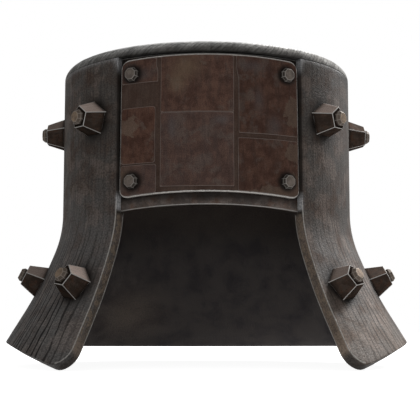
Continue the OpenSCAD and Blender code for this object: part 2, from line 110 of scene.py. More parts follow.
def group_of(name, kind, inputs, outputs):
    tree = bpy.data.node_groups.new(name, kind)
    for label, socket, value in inputs:
        made = tree.interface.new_socket(label, in_out="INPUT", socket_type="NodeSocket" + socket)
        if value is not None:
            made.default_value = value
    for label, socket in outputs:
        tree.interface.new_socket(label, in_out="OUTPUT", socket_type="NodeSocket" + socket)
    return tree, tree.nodes.new("NodeGroupInput").outputs, tree.nodes.new("NodeGroupOutput").inputs


def step_between(tree, value, low, high):
    return put(tree, "ShaderNodeMapRange", {"Value": value, "From Min": low, "From Max": high},
               interpolation_type="SMOOTHSTEP").outputs[0]


def tint(tree, mask, under, over, mode="MIX"):
    return put(tree, "ShaderNodeMix", {0: mask, 6: under, 7: over}, data_type="RGBA", blend_type=mode).outputs[2]


def combined(tree, x, y, z=0.0):
    return put(tree, "ShaderNodeCombineXYZ", {0: x, 1: y, 2: z}).outputs[0]


def stretched(tree, vector, across, along, deep=0.01):
    """The same vector, measured in patches of this size."""
    return put(tree, "ShaderNodeVectorMath", {0: vector, 1: combined(tree, across, along, deep)},
               operation="DIVIDE").outputs[0]


def grains(tree, vector, scale, detail, roughness=0.6):
    return put(tree, "ShaderNodeTexNoise", {"Vector": vector, "Scale": scale, "Detail": detail,
                                            "Roughness": roughness}).outputs[0]


def read_number(tree, name):
    return put(tree, "ShaderNodeAttribute", attribute_name=name).outputs["Fac"]


def new_material(name):
    made = bpy.data.materials.new(name)
    made.use_nodes = True
    return made, made.node_tree, made.node_tree.nodes["Principled BSDF"]


def paint(red, green, blue):
    """A colour as it is read off a picture, from 0 to 255, in the linear values that Blender wants."""
    straight = [c / 255 / 12.92 if c <= 10 else ((c / 255 + 0.055) / 1.055) ** 2.4 for c in (red, green, blue)]
    return (*straight, 1)


print("helpers ready; a mid grey is", round(paint(128, 128, 128)[0], 3))

# %% [markdown]
# ## The finishes that the pieces share
# Old iron shows four things at once: bright lines where edges are rubbed, streaks from brushing along the
# sheet, cloudy stains of rust and oil, and painted shade in the corners. Each is a group with its own sizes, so that
# the wall, the plate and the studs can each use it at their own scale. Pattern vectors are in metres.

# %% Group: worn edges
worn, at, to = group_of("Worn edge", "ShaderNodeTree", [
    ("Distance", "Float", 1.0), ("Width", "Float", 0.8), ("Raggedness", "Float", 0.6),
    ("Vector", "Vector", None), ("Patch Size", "Float", 0.004)], [("Mask", "Float")])
plus, minus, times = maths(worn)
chips = grains(worn, stretched(worn, at["Vector"], *[at["Patch Size"]] * 3), 1.0, 4.0, 0.65)
# the width swings to both sides by the raggedness, and the border of the mask is soft
reach = times(at["Width"], plus(1.0, times(times(minus(chips, 0.5), at["Raggedness"]), 2.0)))
worn.links.new(step_between(worn, at["Distance"], times(reach, 1.1), times(reach, 0.7)), to["Mask"])
print("group", worn.name)

# %% Group: brushed streaks
brushed, at, to = group_of("Brushed streaks", "ShaderNodeTree", [
    ("Vector", "Vector", None), ("Streak Width", "Float", 0.0012), ("Streak Length", "Float", 0.05),
    ("Line Spacing", "Float", 0.0035), ("Line Strength", "Float", 0.5)],
    [("Streaks", "Float"), ("Wide Strokes", "Float"), ("Dark Lines", "Float")])
plus, minus, times = maths(brushed)
along = stretched(brushed, at["Vector"], at["Streak Width"], at["Streak Length"])
fine = step_between(brushed, grains(brushed, along, 1.0, 4.0), 0.3, 0.7)
wide = step_between(brushed, grains(brushed, along, 0.21, 5.0, 0.62), 0.36, 0.64)
brushed.links.new(wide, to["Wide Strokes"])
brushed.links.new(plus(times(fine, 0.5), times(wide, 0.5)), to["Streaks"])
# the dark lines are borders of cells in one direction, swayed a little and broken up
calm = stretched(brushed, at["Vector"], times(at["Line Spacing"], 4.0), times(at["Streak Length"], 3.0))
side = put(brushed, "ShaderNodeSeparateXYZ", {0: at["Vector"]}).outputs["X"]
sway = times(minus(grains(brushed, calm, 1.0, 3.0, 0.55), 0.5), 2.2)
number = plus(sum_of(brushed, "DIVIDE", side, at["Line Spacing"]), sway)
cells = put(brushed, "ShaderNodeTexVoronoi", {"W": number, "Scale": 1.0}, voronoi_dimensions="1D",
            feature="DISTANCE_TO_EDGE").outputs["Distance"]
broken = step_between(brushed, grains(brushed, calm, 3.1, 3.0, 0.7), 0.3, 0.48)
drawn = times(step_between(brushed, cells, 0.19, 0.06), broken)
brushed.links.new(times(drawn, at["Line Strength"]), to["Dark Lines"])
print("group", brushed.name)

# %% Group: cloudy stains
stained, at, to = group_of("Cloudy stains", "ShaderNodeTree", [
    ("Vector", "Vector", None), ("Cloud Size", "Float", 0.02), ("Amount", "Float", 0.5), ("Softness", "Float", 0.15)],
    [("Mask", "Float"), ("Speckle", "Float")])
plus, minus, _ = maths(stained)
cloud = stretched(stained, at["Vector"], *[at["Cloud Size"]] * 3)
puffs = put(stained, "ShaderNodeTexNoise", {"Vector": cloud, "Scale": 1.0, "Detail": 6.0, "Roughness": 0.62,
                                            "Distortion": 0.25}).outputs[0]
level = minus(1.0, at["Amount"])
mask = step_between(stained, puffs, minus(level, at["Softness"]), plus(level, at["Softness"]))
stained.links.new(mask, to["Mask"])
stained.links.new(step_between(stained, grains(stained, cloud, 14.0, 3.0, 0.7), 0.32, 0.68), to["Speckle"])
print("group", stained.name)

# %% [markdown]
# ## Iron
# One recipe serves every iron piece: a ground colour, a second colour in clouds, fine brushing, dark lines,
# painted shade and bright worn edges. Each piece stores what it knows about itself on its points: how far it is
# to the nearest edge (`edge`, in millimetres), how much painted shade, with a little dirt, darkens it
# (`soot_and_shade`), how far it is inside the helmet (`inside`) and how much it has been rubbed, with painted
# highlights and painted shade on some pieces (`rub_and_light`). Some also store where a stain sits (`stain`),
# where pale rust blooms, with a painted highlight on some pieces (`bloom_and_light`), how strong the brushing
# is (`grain`) and how far the pattern is moved (`shift`). The pattern lies on the flat sheet before it was bent
# (`flat`), so the brushing follows the flare as it does on the real wall.

# %% Recipe for the iron materials
# the black of painted shade, and of the brow sheets' own dirt
SOOT_AND_SHADE_BLACK = paint(20, 17, 15)
PATINA_APART = (0.31, 0.17, 0.4)
ROUGH_CLEAN, ROUGH_STAINED, ROUGH_RUBBED = 0.55, 0.75, 0.12


def iron(name, ground, cloud, line, edge, inside=None, patina=None, across=0.0009, along=0.014, cloud_size=0.02,
         amount=0.45, streak=0.25, spacing=0.0035, lines=0.5, grain=False, speck=0.12, edge_width=0.8,
         edge_strength=0.85, edge_ragged=0.6, metal=0.15, bump=0.15, gloss=0.08, turn=0.0, rub_and_light=None, stain=None,
         veil=None, bloom_and_light=None):
    """Sizes are in metres. patina is (colour, size, amount) and veil (colour, strength)."""
    made, tree, shader = new_material(name)
    plus, minus, times = maths(tree)
    own = partial(read_number, tree)
    where = put(tree, "ShaderNodeUVMap", uv_map="flat").outputs[0]
    # no two copies of a part show the same patch of rust
    apart = combined(tree, own("shift"), times(own("shift"), 1.7))
    where = put(tree, "ShaderNodeVectorMath", {0: where, 1: apart}, operation="ADD").outputs[0]
    turned = put(tree, "ShaderNodeMapping", {"Vector": where, "Rotation": (0, 0, turn)}).outputs[0]
    strokes = put(tree, "ShaderNodeGroup", {"Streak Width": across, "Streak Length": along, "Line Spacing": spacing,
                                            "Line Strength": lines, "Vector": turned}, node_tree=brushed).outputs
    clouds = put(tree, "ShaderNodeGroup", {"Cloud Size": cloud_size, "Amount": amount, "Vector": where},
                 node_tree=stained).outputs
    wear_and_light = put(tree, "ShaderNodeGroup", {"Width": edge_width, "Raggedness": edge_ragged, "Vector": where,
                                           "Distance": own("edge")}, node_tree=worn).outputs["Mask"]
    speckle = clouds["Speckle"]

    # colours, from the ground up
    colour = tint(tree, clouds["Mask"], ground, cloud)
    if patina:
        moved = put(tree, "ShaderNodeMapping", {"Vector": where, "Location": PATINA_APART}).outputs[0]
        film = put(tree, "ShaderNodeGroup", {"Cloud Size": patina[1], "Amount": patina[2], "Softness": 0.06,
                                             "Vector": moved}, node_tree=stained).outputs["Mask"]
        colour = tint(tree, times(film, 0.7), colour, patina[0])
    if veil:
        cover = step_between(tree, strokes["Wide Strokes"], 0.45, 0.95)
        colour = tint(tree, times(cover, veil[1]), colour, veil[0])
    # tint for worn faces and painted light on the wall, grey patches on the sheets, painted highlights on the studs
    # and the crown's rim, and painted shade on the rivet heads' sides
    if rub_and_light:
        colour = tint(tree, times(own("rub_and_light"), 0.95), colour, rub_and_light)
    if stain:
        blot = plus(own("stain"), times(minus(grains(tree, where, 170.0, 3.0), 0.5), 1.3))
        colour = tint(tree, times(step_between(tree, blot, 0.46, 0.54), 0.7), colour, stain)

    # brushing and specks make it lighter and darker, and the lines cut in
    swing, dark = minus(strokes["Streaks"], 0.5), strokes["Dark Lines"]
    if grain:
        swing = times(swing, plus(0.4, times(own("grain"), 0.6)))
        dark = times(dark, own("grain"))
    shade = times(plus(1.0, times(swing, 2 * streak)), plus(1.0 - speck, times(speckle, 2 * speck)))
    grey = put(tree, "ShaderNodeCombineColor", {0: shade, 1: shade, 2: shade}).outputs[0]
    colour = tint(tree, 1.0, colour, grey, "MULTIPLY")
    colour = tint(tree, dark, colour, line)
    if inside:
        colour = tint(tree, own("inside"), colour, tint(tree, clouds["Mask"], *inside))
    # pale rust, and a painted highlight on the studs' upper faces and the lower right skirt
    if bloom_and_light:
        colour = tint(tree, times(own("bloom_and_light"), plus(0.5, times(speckle, 0.5))), colour, bloom_and_light)
    # darkening: painted shade in corners, round the parts and under overhangs, and the brow sheets' own dirt
    soot_and_shade = sum_of(tree, "MULTIPLY", own("soot_and_shade"), plus(0.75, times(speckle, 0.35)), clamp=True)
    colour = tint(tree, soot_and_shade, colour, SOOT_AND_SHADE_BLACK)
    bright = times(wear_and_light, times(edge_strength, plus(0.55, times(speckle, 0.45))))
    tree.links.new(tint(tree, bright, colour, edge), shader.inputs["Base Color"])

    # how it shines and how uneven it feels
    shader.inputs["Specular IOR Level"].default_value = gloss
    rougher = put(tree, "ShaderNodeMapRange", {"Value": clouds["Mask"], "To Min": ROUGH_CLEAN,
                                               "To Max": ROUGH_STAINED}).outputs[0]
    tree.links.new(minus(rougher, times(bright, ROUGH_RUBBED)), shader.inputs["Roughness"])
    tree.links.new(times(sum_of(tree, "SUBTRACT", 1.0, soot_and_shade, clamp=True), metal), shader.inputs["Metallic"])
    height = plus(times(strokes["Streaks"], 0.5), minus(times(speckle, 0.6), dark))
    uneven = put(tree, "ShaderNodeBump", {"Height": height, "Strength": bump, "Distance": 0.0006}).outputs[0]
    tree.links.new(uneven, shader.inputs["Normal"])
    return made


# on the wall the rub colour is worn iron, and also painted light on the shaded lower left skirt; the bloom colour is
# pale rust, and also painted light on the lower right skirt; the soot is painted shade
wall_iron = iron("wall iron", paint(72, 68, 65), paint(70, 58, 51), paint(16, 13, 12), paint(168, 165, 160),
                 inside=(paint(85, 80, 78), paint(77, 73, 75)), rub_and_light=paint(160, 160, 161),
                 patina=(paint(97, 87, 81), 0.02, 0.45), streak=0.36, lines=1.0, grain=True, spacing=0.0056,
                 along=0.026, edge_width=0.55, edge_ragged=0.8, speck=0.38, bump=0.3, gloss=0.05,
                 stain=paint(116, 102, 88), bloom_and_light=paint(150, 134, 120))
print("material", wall_iron.name)

# %% [markdown]
# ## The rule of the wall
# The wall is straight at the top, then follows two circles, then runs straight out as a skirt. That is a
# rule, so Geometry Nodes can hold it: we draw every sheet flat, as a smith would cut it, and let the tree bend
# it. Across the flat sheet is the way round the barrel, down is the way down the wall, and the third
# direction is the depth into the iron. The first group turns a distance down the wall into a radius, a height
# and a lean.

# %% Group: the profile of the wall
BARREL, WALL, TOP = 118.0, 9.3, 219.0
FLARE, R1, LEAN1, R2, LEAN2 = 109.0, 86.0, math.radians(21), 314.0, math.radians(31.4)
SIZES = {"Barrel Radius": BARREL * mm, "Wall Top": TOP * mm, "Straight Length": (TOP - FLARE) * mm,
         "Upper Curve": R1 * mm, "Upper Lean": LEAN1, "Lower Curve": R2 * mm, "Lower Lean": LEAN2}
SIZE_INPUTS = [(name, "Float", value) for name, value in SIZES.items()]
profile, at, to = group_of("Wall profile", "GeometryNodeTree", [("Drop", "Float", 0.0)] + SIZE_INPUTS,
                           [("Radius", "Float"), ("Height", "Float"), ("Lean", "Float")])
plus, minus, times = maths(profile)
over, least, most, sine, cosine = [partial(sum_of, profile, kind)
                                   for kind in ("DIVIDE", "MINIMUM", "MAXIMUM", "SINE", "COSINE")]
below = minus(at["Drop"], at["Straight Length"])
first = least(most(over(below, at["Upper Curve"]), 0.0), at["Upper Lean"])
past = minus(below, times(at["Upper Curve"], at["Upper Lean"]))
spread = minus(at["Lower Lean"], at["Upper Lean"])
second = least(most(over(past, at["Lower Curve"]), 0.0), spread)
lower = plus(at["Upper Lean"], second)
rest = most(minus(past, times(at["Lower Curve"], spread)), 0.0)
radius = plus(at["Barrel Radius"], times(at["Upper Curve"], minus(1.0, cosine(first))))
radius = plus(radius, times(at["Lower Curve"], minus(cosine(at["Upper Lean"]), cosine(lower))))
radius = plus(radius, times(rest, sine(at["Lower Lean"])))
height = minus(at["Wall Top"], least(at["Drop"], at["Straight Length"]))
height = minus(height, times(at["Upper Curve"], sine(first)))
height = minus(height, times(at["Lower Curve"], minus(sine(lower), sine(at["Upper Lean"]))))
height = minus(height, times(rest, cosine(at["Lower Lean"])))
for label, socket in (("Radius", radius), ("Height", height), ("Lean", plus(first, second))):
    profile.links.new(socket, to[label])
print("group", profile.name, "with", len(profile.nodes), "nodes")

# %% Helpers for the trees that follow the wall
def wall_rule(tree, at, drop):
    """The profile inside a tree, with its sizes from the tree's own inputs."""
    return put(tree, "GeometryNodeGroup", {"Drop": drop, **{name: at[name] for name in SIZES}},
               node_tree=profile).outputs


def round_place(tree, radius, azimuth, height):
    sine, cosine = (sum_of(tree, kind, azimuth) for kind in ("SINE", "COSINE"))
    return combined(tree, sum_of(tree, "MULTIPLY", radius, sine),
                    sum_of(tree, "MULTIPLY", radius, sum_of(tree, "MULTIPLY", cosine, -1.0)), height)


def close_tree(tree, geometry, at, to):
    """Every tree ends so, because the export drops instances."""
    real = put(tree, "GeometryNodeRealizeInstances", {"Geometry": geometry}).outputs[0]
    coated = put(tree, "GeometryNodeSetMaterial", {"Geometry": real, "Material": at["Material"]}).outputs[0]
    tree.links.new(coated, to["Geometry"])
    print("tree", tree.name)


# %% Tree: bend a flat sheet to the wall
bend, at, to = group_of("Bend to the wall", "GeometryNodeTree",
                        [("Geometry", "Geometry", None)] + SIZE_INPUTS + [("Material", "Material", None)],
                        [("Geometry", "Geometry")])
_, minus, times = maths(bend)
flat = put(bend, "ShaderNodeSeparateXYZ", {0: put(bend, "GeometryNodeInputPosition").outputs[0]}).outputs
rule = wall_rule(bend, at, flat["Y"])
radius = minus(rule["Radius"], times(flat["Z"], sum_of(bend, "COSINE", rule["Lean"])))
height = minus(rule["Height"], times(flat["Z"], sum_of(bend, "SINE", rule["Lean"])))
azimuth = sum_of(bend, "DIVIDE", flat["X"], at["Barrel Radius"])
place = round_place(bend, radius, azimuth, height)
moved = put(bend, "GeometryNodeSetPosition", {"Geometry": at["Geometry"], "Position": place}).outputs[0]
close_tree(bend, moved, at, to)

# %% [markdown]
# ## From a tree to a plain mesh
# A tree works on a holder object. We set the tree's inputs by their identifiers, let Blender work the result
# out, keep it as a plain mesh and drop the holder. The finishes read numbers that lie on the points, so two
# short helpers store and read them.

# %% Helpers for meshes
def mesh_of(name, points, faces):
    """A mesh from points in mm."""
    mesh = bpy.data.meshes.new(name)
    mesh.from_pydata([Vector(p) * mm for p in points], [], faces)
    return mesh


def lay_flat(mesh, places):
    """Keeps the flat place of every face corner, in mm, as the map that the finishes are drawn on."""
    mesh.uv_layers.new(name="flat").data.foreach_set("uv", (np.array(places) * mm).ravel())


def note(mesh, name, values):
    """Stores a number per point for the finishes to read."""
    if name not in mesh.attributes:
        mesh.attributes.new(name, "FLOAT", "POINT")
    mesh.attributes[name].data.foreach_set("value", list(map(float, values)))


def noted(mesh, name):
    values = np.zeros(len(mesh.vertices))
    mesh.attributes[name].data.foreach_get("value", values)
    return values


def points_of(mesh):
    """The points in mm."""
    places = np.zeros(len(mesh.vertices) * 3)
    mesh.vertices.foreach_get("co", places)
    return places.reshape(-1, 3) / mm


def corners_of(mesh):
    """Which point each face corner stands on."""
    corner = np.zeros(len(mesh.loops), int)
    mesh.loops.foreach_get("vertex_index", corner)
    return corner


def in_scene(name, mesh):
    made = bpy.data.objects.new(name, mesh)
    bpy.context.scene.collection.objects.link(made)
    return made


def plain_mesh(holder, name):
    """The mesh that the modifiers make, with nothing live left."""
    bpy.context.view_layer.update()
    graph = bpy.context.evaluated_depsgraph_get()
    mesh = bpy.data.meshes.new_from_object(holder.evaluated_get(graph), preserve_all_data_layers=True,
                                           depsgraph=graph)
    mesh.name = name
    bpy.data.objects.remove(holder)
    return mesh


def one_material(mesh, material):
    mesh.materials.clear()
    mesh.materials.append(material)
    mesh.polygons.foreach_set("material_index", [0] * len(mesh.polygons))
    return mesh


def grow(mesh, tree, values, name):
    """Runs a tree on a mesh, with values for the tree's named inputs."""
    holder = in_scene(name + "_work", mesh)
    modifier = holder.modifiers.new("grow", "NODES")
    modifier.node_group = tree
    for item in tree.interface.items_tree:
        if item.item_type == "SOCKET" and item.in_out == "INPUT" and item.name in values:
            modifier[item.identifier] = values[item.name]
    return one_material(plain_mesh(holder, name), values["Material"])


def plain_round(radius):
    """The wall's sizes for a round without a flare."""
    return {**SIZES, "Barrel Radius": radius * mm, "Upper Lean": 0.0, "Lower Lean": 0.0}


print("a plain round of the barrel has", len(plain_round(BARREL)), "sizes")

# %% Helper: show a piece
def firm_normals(mesh):
    """Lets the big flat faces decide the shading, so that only the narrow rounded edges turn."""
    count = len(mesh.polygons)
    aims, sizes, corners = np.zeros(count * 3), np.zeros(count), np.zeros(count, int)
    mesh.polygons.foreach_get("normal", aims)
    mesh.polygons.foreach_get("area", sizes)
    mesh.polygons.foreach_get("loop_total", corners)
    weighted = np.repeat(aims.reshape(-1, 3) * sizes[:, None], corners, axis=0)
    corner = corners_of(mesh)
    normals = np.stack([np.bincount(corner, weighted[:, k], len(mesh.vertices)) for k in range(3)], 1)
    normals /= np.maximum(np.linalg.norm(normals, axis=1), 1e-12)[:, None]
    mesh.normals_split_custom_set_from_vertices(normals)


def show(name, mesh, replaces=()):
    """Puts a finished mesh in the scene as a piece of the helmet."""
    solid = bmesh.new()
    solid.from_mesh(mesh)
    bmesh.ops.recalc_face_normals(solid, faces=solid.faces)
    solid.to_mesh(mesh)
    solid.free()
    mesh.shade_smooth()
    firm_normals(mesh)
    piece = in_scene(name, mesh)
    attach(piece, "root")
    if replaces:
        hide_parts(*replaces)
    print(f"{name}: {sum(len(p.vertices) - 2 for p in mesh.polygons)} triangles")
    return piece


print("every piece rides on the body root, because nothing on the helmet moves")

# %% [markdown]
# ## Flat sheets with rounded edges
# A sheet is a grid of points with a front and a back face. Between them runs a rim of rings that rounds both
# edges, because no forged edge is sharp and the rounding is what catches the light. The helper also
# measures how far each point is from the nearest edge.

# %% Helper: a flat sheet
# a rounded edge in two rings: how far in from the side, and how deep, as shares of its radius
ROUND = ((0.293, 0.293), (0.0, 1.0))
# a rounded edge counts as this share of its radius away from the sharp edge
EDGE_SHARE = 0.8


def out_of_rim(rim, pull):
    """Directions square to the rim, in the flat. pull is how much the sheet is stretched round the barrel."""
    normals = []
    for side in (np.roll(rim, -1, 0) - rim, rim - np.roll(rim, 1, 0)):
        side[:, 0] *= pull
        side /= np.maximum(np.linalg.norm(side, axis=1), 1e-9)[:, None]
        normals.append(np.stack([side[:, 1], -side[:, 0]], 1))
    out = normals[0] + normals[1]
    out /= np.maximum(1 + (normals[0] * normals[1]).sum(1), 0.35)[:, None]
    out[:, 0] /= pull
    return out


def flat_sheet(name, grid, depth, edge, stretch=lambda s: 1.0, layers=3):
    """grid holds [across, down] in mm inside the rounded edge, depth the thickness at each point."""
    n, m = grid.shape[:2]
    loop = ([(i, 0) for i in range(n)] + [(n - 1, j) for j in range(1, m)]
            + [(i, m - 1) for i in range(n - 2, -1, -1)] + [(0, j) for j in range(m - 2, 0, -1)])
    rim = np.array([grid[i, j] for i, j in loop])
    out = out_of_rim(rim, np.array([stretch(s) for s in rim[:, 1]]))
    reach = KDTree(len(rim))
    for k, (x, y) in enumerate(rim):
        reach.insert((x, y, 0), k)
    reach.balance()
    points, margins = [], []
    for face in (0, 1):
        for (x, y), thick in zip(grid.reshape(-1, 2), depth.flat):
            points.append((x, y, face * thick))
            margins.append(reach.find((x, y, 0))[2] + EDGE_SHARE * edge)
    rings = [[i * m + j for i, j in loop]]
    levels = [(a, b * edge, 0) for a, b in ROUND] + [(0.0, None, f / (layers + 1)) for f in range(1, layers + 1)]
    levels += [(a, b * edge, 1) for a, b in reversed(ROUND)]
    for inset, level, part in levels:
        rings.append(list(range(len(points), len(points) + len(loop))))
        for k, (i, j) in enumerate(loop):
            thick = depth[i, j]
            if level is None:
                w = edge + (thick - 2 * edge) * part
                far = EDGE_SHARE * edge + min(w - edge, thick - edge - w)
            else:
                w = thick - level if part else level
                far = 0.0 if inset else EDGE_SHARE * edge
            points.append((*(rim[k] + out[k] * edge * (1 - inset)), w))
            margins.append(far)
    rings.append([n * m + i * m + j for i, j in loop])
    faces = []
    for a in [i * m + j for i in range(n - 1) for j in range(m - 1)]:
        b = a + n * m
        faces += [(a, a + m, a + m + 1, a + 1), (b, b + 1, b + m + 1, b + m)]
    for upper, lower in zip(rings, rings[1:]):
        for k in range(len(loop)):
            nxt = (k + 1) % len(loop)
            faces.append((upper[k], lower[k], lower[nxt], upper[nxt]))
    mesh = mesh_of(name, points, faces)
    note(mesh, "edge", margins)
    u, s, w = points_of(mesh)[corners_of(mesh)].T
    # the depth moves the map along too, or a rim would show one long streak
    lay_flat(mesh, np.stack([u + 1.1 * w, s], 1))
    return mesh


print("a rounded edge turns in", len(ROUND), "rings")

# %% [markdown]
# ## The shell
# The shell is one thick sheet, open over the face. Cut flat, it is a strip whose lower edge dips at both ends
# for the cheeks, with a rounded corner at each tip. A seat is let into its inner face for the brow band. We
# draw that strip and bend it with the tree, with every size of the wall as a named input.

# %% Sizes of the shell
# OPEN is the opening's edge, in degrees from the front
OPEN = 35.8
Z_JOIN, R_JOIN = FLARE - R1 * math.sin(LEAN1), BARREL + R1 * (1 - math.cos(LEAN1))
Z_SKIRT = Z_JOIN - R2 * (math.sin(LEAN2) - math.sin(LEAN1))
R_SKIRT = R_JOIN + R2 * (math.cos(LEAN1) - math.cos(LEAN2))
DROP1 = TOP - FLARE
DROP2 = DROP1 + R1 * LEAN1
DROP3 = DROP2 + R2 * (LEAN2 - LEAN1)
# from HEM_TURN degrees, the hem dips towards the cheeks and a little towards the back
HEM_Z, HEM_TURN, CHEEK_DIP, BACK_DIP, CHEEK_R = 6.5, 85, 18, 1.9, 14.0


def radius_at_drop(s):
    if s < DROP1:
        return BARREL
    if s < DROP2:
        return BARREL + R1 * (1 - math.cos((s - DROP1) / R1))
    if s < DROP3:
        return R_JOIN + R2 * (math.cos(LEAN1) - math.cos(LEAN1 + (s - DROP2) / R2))
    return R_SKIRT + (s - DROP3) * math.sin(LEAN2)


def drop_at(z):
    if z >= FLARE:
        return TOP - z
    if z >= Z_JOIN:
        return DROP1 + R1 * math.asin((FLARE - z) / R1)
    if z >= Z_SKIRT:
        return DROP2 + R2 * (math.asin(math.sin(LEAN1) + (Z_JOIN - z) / R2) - LEAN1)
    return DROP3 + (Z_SKIRT - z) / math.cos(LEAN2)


def hem_drop(az):
    a = max(az if az <= 180 else 360 - az, OPEN)
    if a < HEM_TURN:
        return drop_at(HEM_Z - CHEEK_DIP * ((HEM_TURN - a) / (HEM_TURN - OPEN)) ** 2)
    return drop_at(HEM_Z - BACK_DIP * (1 - math.cos(math.pi * (a - HEM_TURN) / (180 - HEM_TURN))) / 2)


print("the wall is", round(hem_drop(OPEN), 1), "mm long at the cheeks and", round(hem_drop(180), 1), "at the back")

# %% The studs' and rivets' places, which also say where painted shade gathers round them
# way round in degrees, height, and turn about the own axis in degrees
STUDS = {"upper_stud_front": (47.8, 174.5, 0), "upper_stud_side": (90.0, 176.5, 0),
         "lower_stud_front": (45.3, 48.5, 9.5), "lower_stud_side": (80.4, 52.5, 3.5)}
LINING_RIVETS = [(126, 171.54), (180, 171.54), (234, 171.54)]
STUD_REACH, RIVET_REACH, SHADE_FADE = 13.4, 4.4, 0.36
around = [(side * az, drop_at(z), STUD_REACH) for az, z, _ in STUDS.values() for side in (1, -1)]
around += [(az, drop_at(z), RIVET_REACH) for az, z in LINING_RIVETS]


def painted_shade_at(az, s):
    """From 0, unshaded, to 1, close beside something that stands on the wall, as painted shade."""
    most = 0.0
    for az0, s0, size in around:
        turn = (az - az0 + 180) % 360 - 180
        gap = math.hypot(math.radians(turn) * radius_at_drop(s0), s - s0) - size
        most = max(most, math.exp(-max(gap, 0) / (SHADE_FADE * size)))
    return most


# these are the places round which painted shade gathers
print(len(around), "places gather soot")

# %% The rounded tips of the cheeks
EDGE = 0.6
CORNER_S = hem_drop(OPEN)
SLOPE = math.atan(2 * CHEEK_DIP / (HEM_TURN - OPEN) / math.cos(LEAN2) / math.radians(radius_at_drop(CORNER_S)))
TOUCH = CHEEK_R * math.tan(math.pi / 4 + SLOPE / 2)


def round_cheek(x, up):
    """Pulls points near the tip of a cheek inside its rounded corner. x runs in from the opening's edge."""
    along, height = x / math.cos(SLOPE), up - x * math.tan(SLOPE)
    if along >= TOUCH or height >= TOUCH:
        return x, up
    heart_x, heart_y = TOUCH * math.cos(SLOPE), TOUCH + TOUCH * math.sin(SLOPE)
    dx, dy = x - heart_x, up - heart_y
    if math.hypot(dx, dy) < 1e-6:
        return x, up
    # the way out from the heart ends on the sharp corner, and is cut short at the circle
    grown = min(TOUCH / max(TOUCH - along, 1e-9), TOUCH / max(TOUCH - height, 1e-9))
    ex, ey, ox, oy = dx * grown, dy * grown, heart_x - CHEEK_R, heart_y - TOUCH
    a, b, c = ex * ex + ey * ey, 2 * (ox * ex + oy * ey), ox * ox + oy * oy - CHEEK_R ** 2
    hit = (-b + math.sqrt(max(b * b - 4 * a * c, 0))) / (2 * a)
    return heart_x + ex * hit / grown, heart_y + ey * hit / grown


print("the cheeks' corners start", round(TOUCH, 1), "mm from the tip")

# %% The shell, cut flat
BAND_R, BAND_AZ, BAND_TOP, BAND_LOW, BAND_ARCH, BAND_THICK = 111.8, 54.0, 218.3, 106.4, 3.1, 3.1
SEAT_ROOM, SEAT_DEEP = 0.8, 3.2
seat_az = BAND_AZ + math.degrees(math.asin(SEAT_ROOM / BAND_R))
seat_drop = TOP - (BAND_LOW - BAND_ARCH - SEAT_ROOM)
# columns and rows come close together at the seat's step, and the last rows stretch to follow the hem
NEAR_AZ, NEAR_S, ROW, LOOSE = 0.02, 0.03, 2.6, 44
half = [*np.linspace(OPEN + math.degrees(EDGE / BARREL), seat_az - NEAR_AZ, 17),
        *np.linspace(seat_az + NEAR_AZ, 180, 113)]
columns = half + [360 - az for az in reversed(half[:-1])]
fixed_rows = [*np.linspace(EDGE, seat_drop - NEAR_S, 45), *(seat_drop + NEAR_S + ROW * j for j in range(5))]
grid = np.zeros((len(columns), len(fixed_rows) + LOOSE, 2))
depth = np.full(grid.shape[:2], WALL)
for i, az in enumerate(columns):
    mirrored = az > 180
    a, from_side = (360 - az, len(columns) - 1 - i) if mirrored else (az, i)
    for j, s in enumerate([*fixed_rows, *np.linspace(fixed_rows[-1], hem_drop(az) - EDGE, LOOSE + 1)[1:]]):
        x = math.radians(a - OPEN) * radius_at_drop(s)
        if j >= len(fixed_rows):
            # the opening's edge is straight in the flat, so the first columns keep their distance from it
            x += EDGE * (1 - radius_at_drop(s) / BARREL) * max(0.0, 1 - from_side / 6)
        x, up = round_cheek(x, CORNER_S - s)
        placed = OPEN + math.degrees(x / radius_at_drop(CORNER_S - up))
        grid[i, j] = math.radians(360 - placed if mirrored else placed) * BARREL, CORNER_S - up
        if a < seat_az and s < seat_drop:
            depth[i, j] = WALL - SEAT_DEEP
strip = flat_sheet("shell_flat", grid, depth, EDGE, stretch=lambda s: radius_at_drop(s) / BARREL)
print("the flat shell has", len(strip.vertices), "points")

# %% What the shell knows about its surface
def near(values, middle, reach, power=2):
    """1 in the middle and close to 0 beyond the reach. A higher power makes the border sharper."""
    return np.exp(-((values - middle) / reach) ** power)


def beyond(values, start, soft):
    """0 before the start and 1 beyond it, over a soft border. A negative one turns it round."""
    return 1 / (1 + np.exp(-(values - start) / soft))


across_flat, drop, deep = points_of(strip).T
az_of = np.degrees(across_flat / BARREL)
from_edge = np.minimum(np.abs(az_of - OPEN), np.abs(360 - OPEN - az_of)) * math.pi / 180 * BARREL
outer, innermost, right, spread_az = deep < 3, deep > WALL - 0.5, az_of < 180, np.minimum(az_of, 360 - az_of)
side = near(from_edge, 0, 0.45)
beside_plate = near(drop, 54.5, 49, 12) * (deep < WALL - 1)
note(strip, "inside", np.clip(deep - WALL + 1.2, 0, 1))

# rubbed: the opening's side at both ends of the plate and the top under the rim; the lower left is made paler as
# painted light
rub_and_light = side * (near(drop, 109.5, 6.5, 6) + near(drop, 2, 9, 6))
rub_and_light += 0.4 * outer * (near(drop, 0, 2.2) + near(drop, 0, 7, 4) * near(from_edge, 0, 3.4))
# painted light: the lower left skirt, which lies in shade, is made paler
rub_and_light += 0.14 * (az_of > 180) * outer * beyond(drop, 118, 12)
note(strip, "rub_and_light", np.clip(rub_and_light, 0, 1))

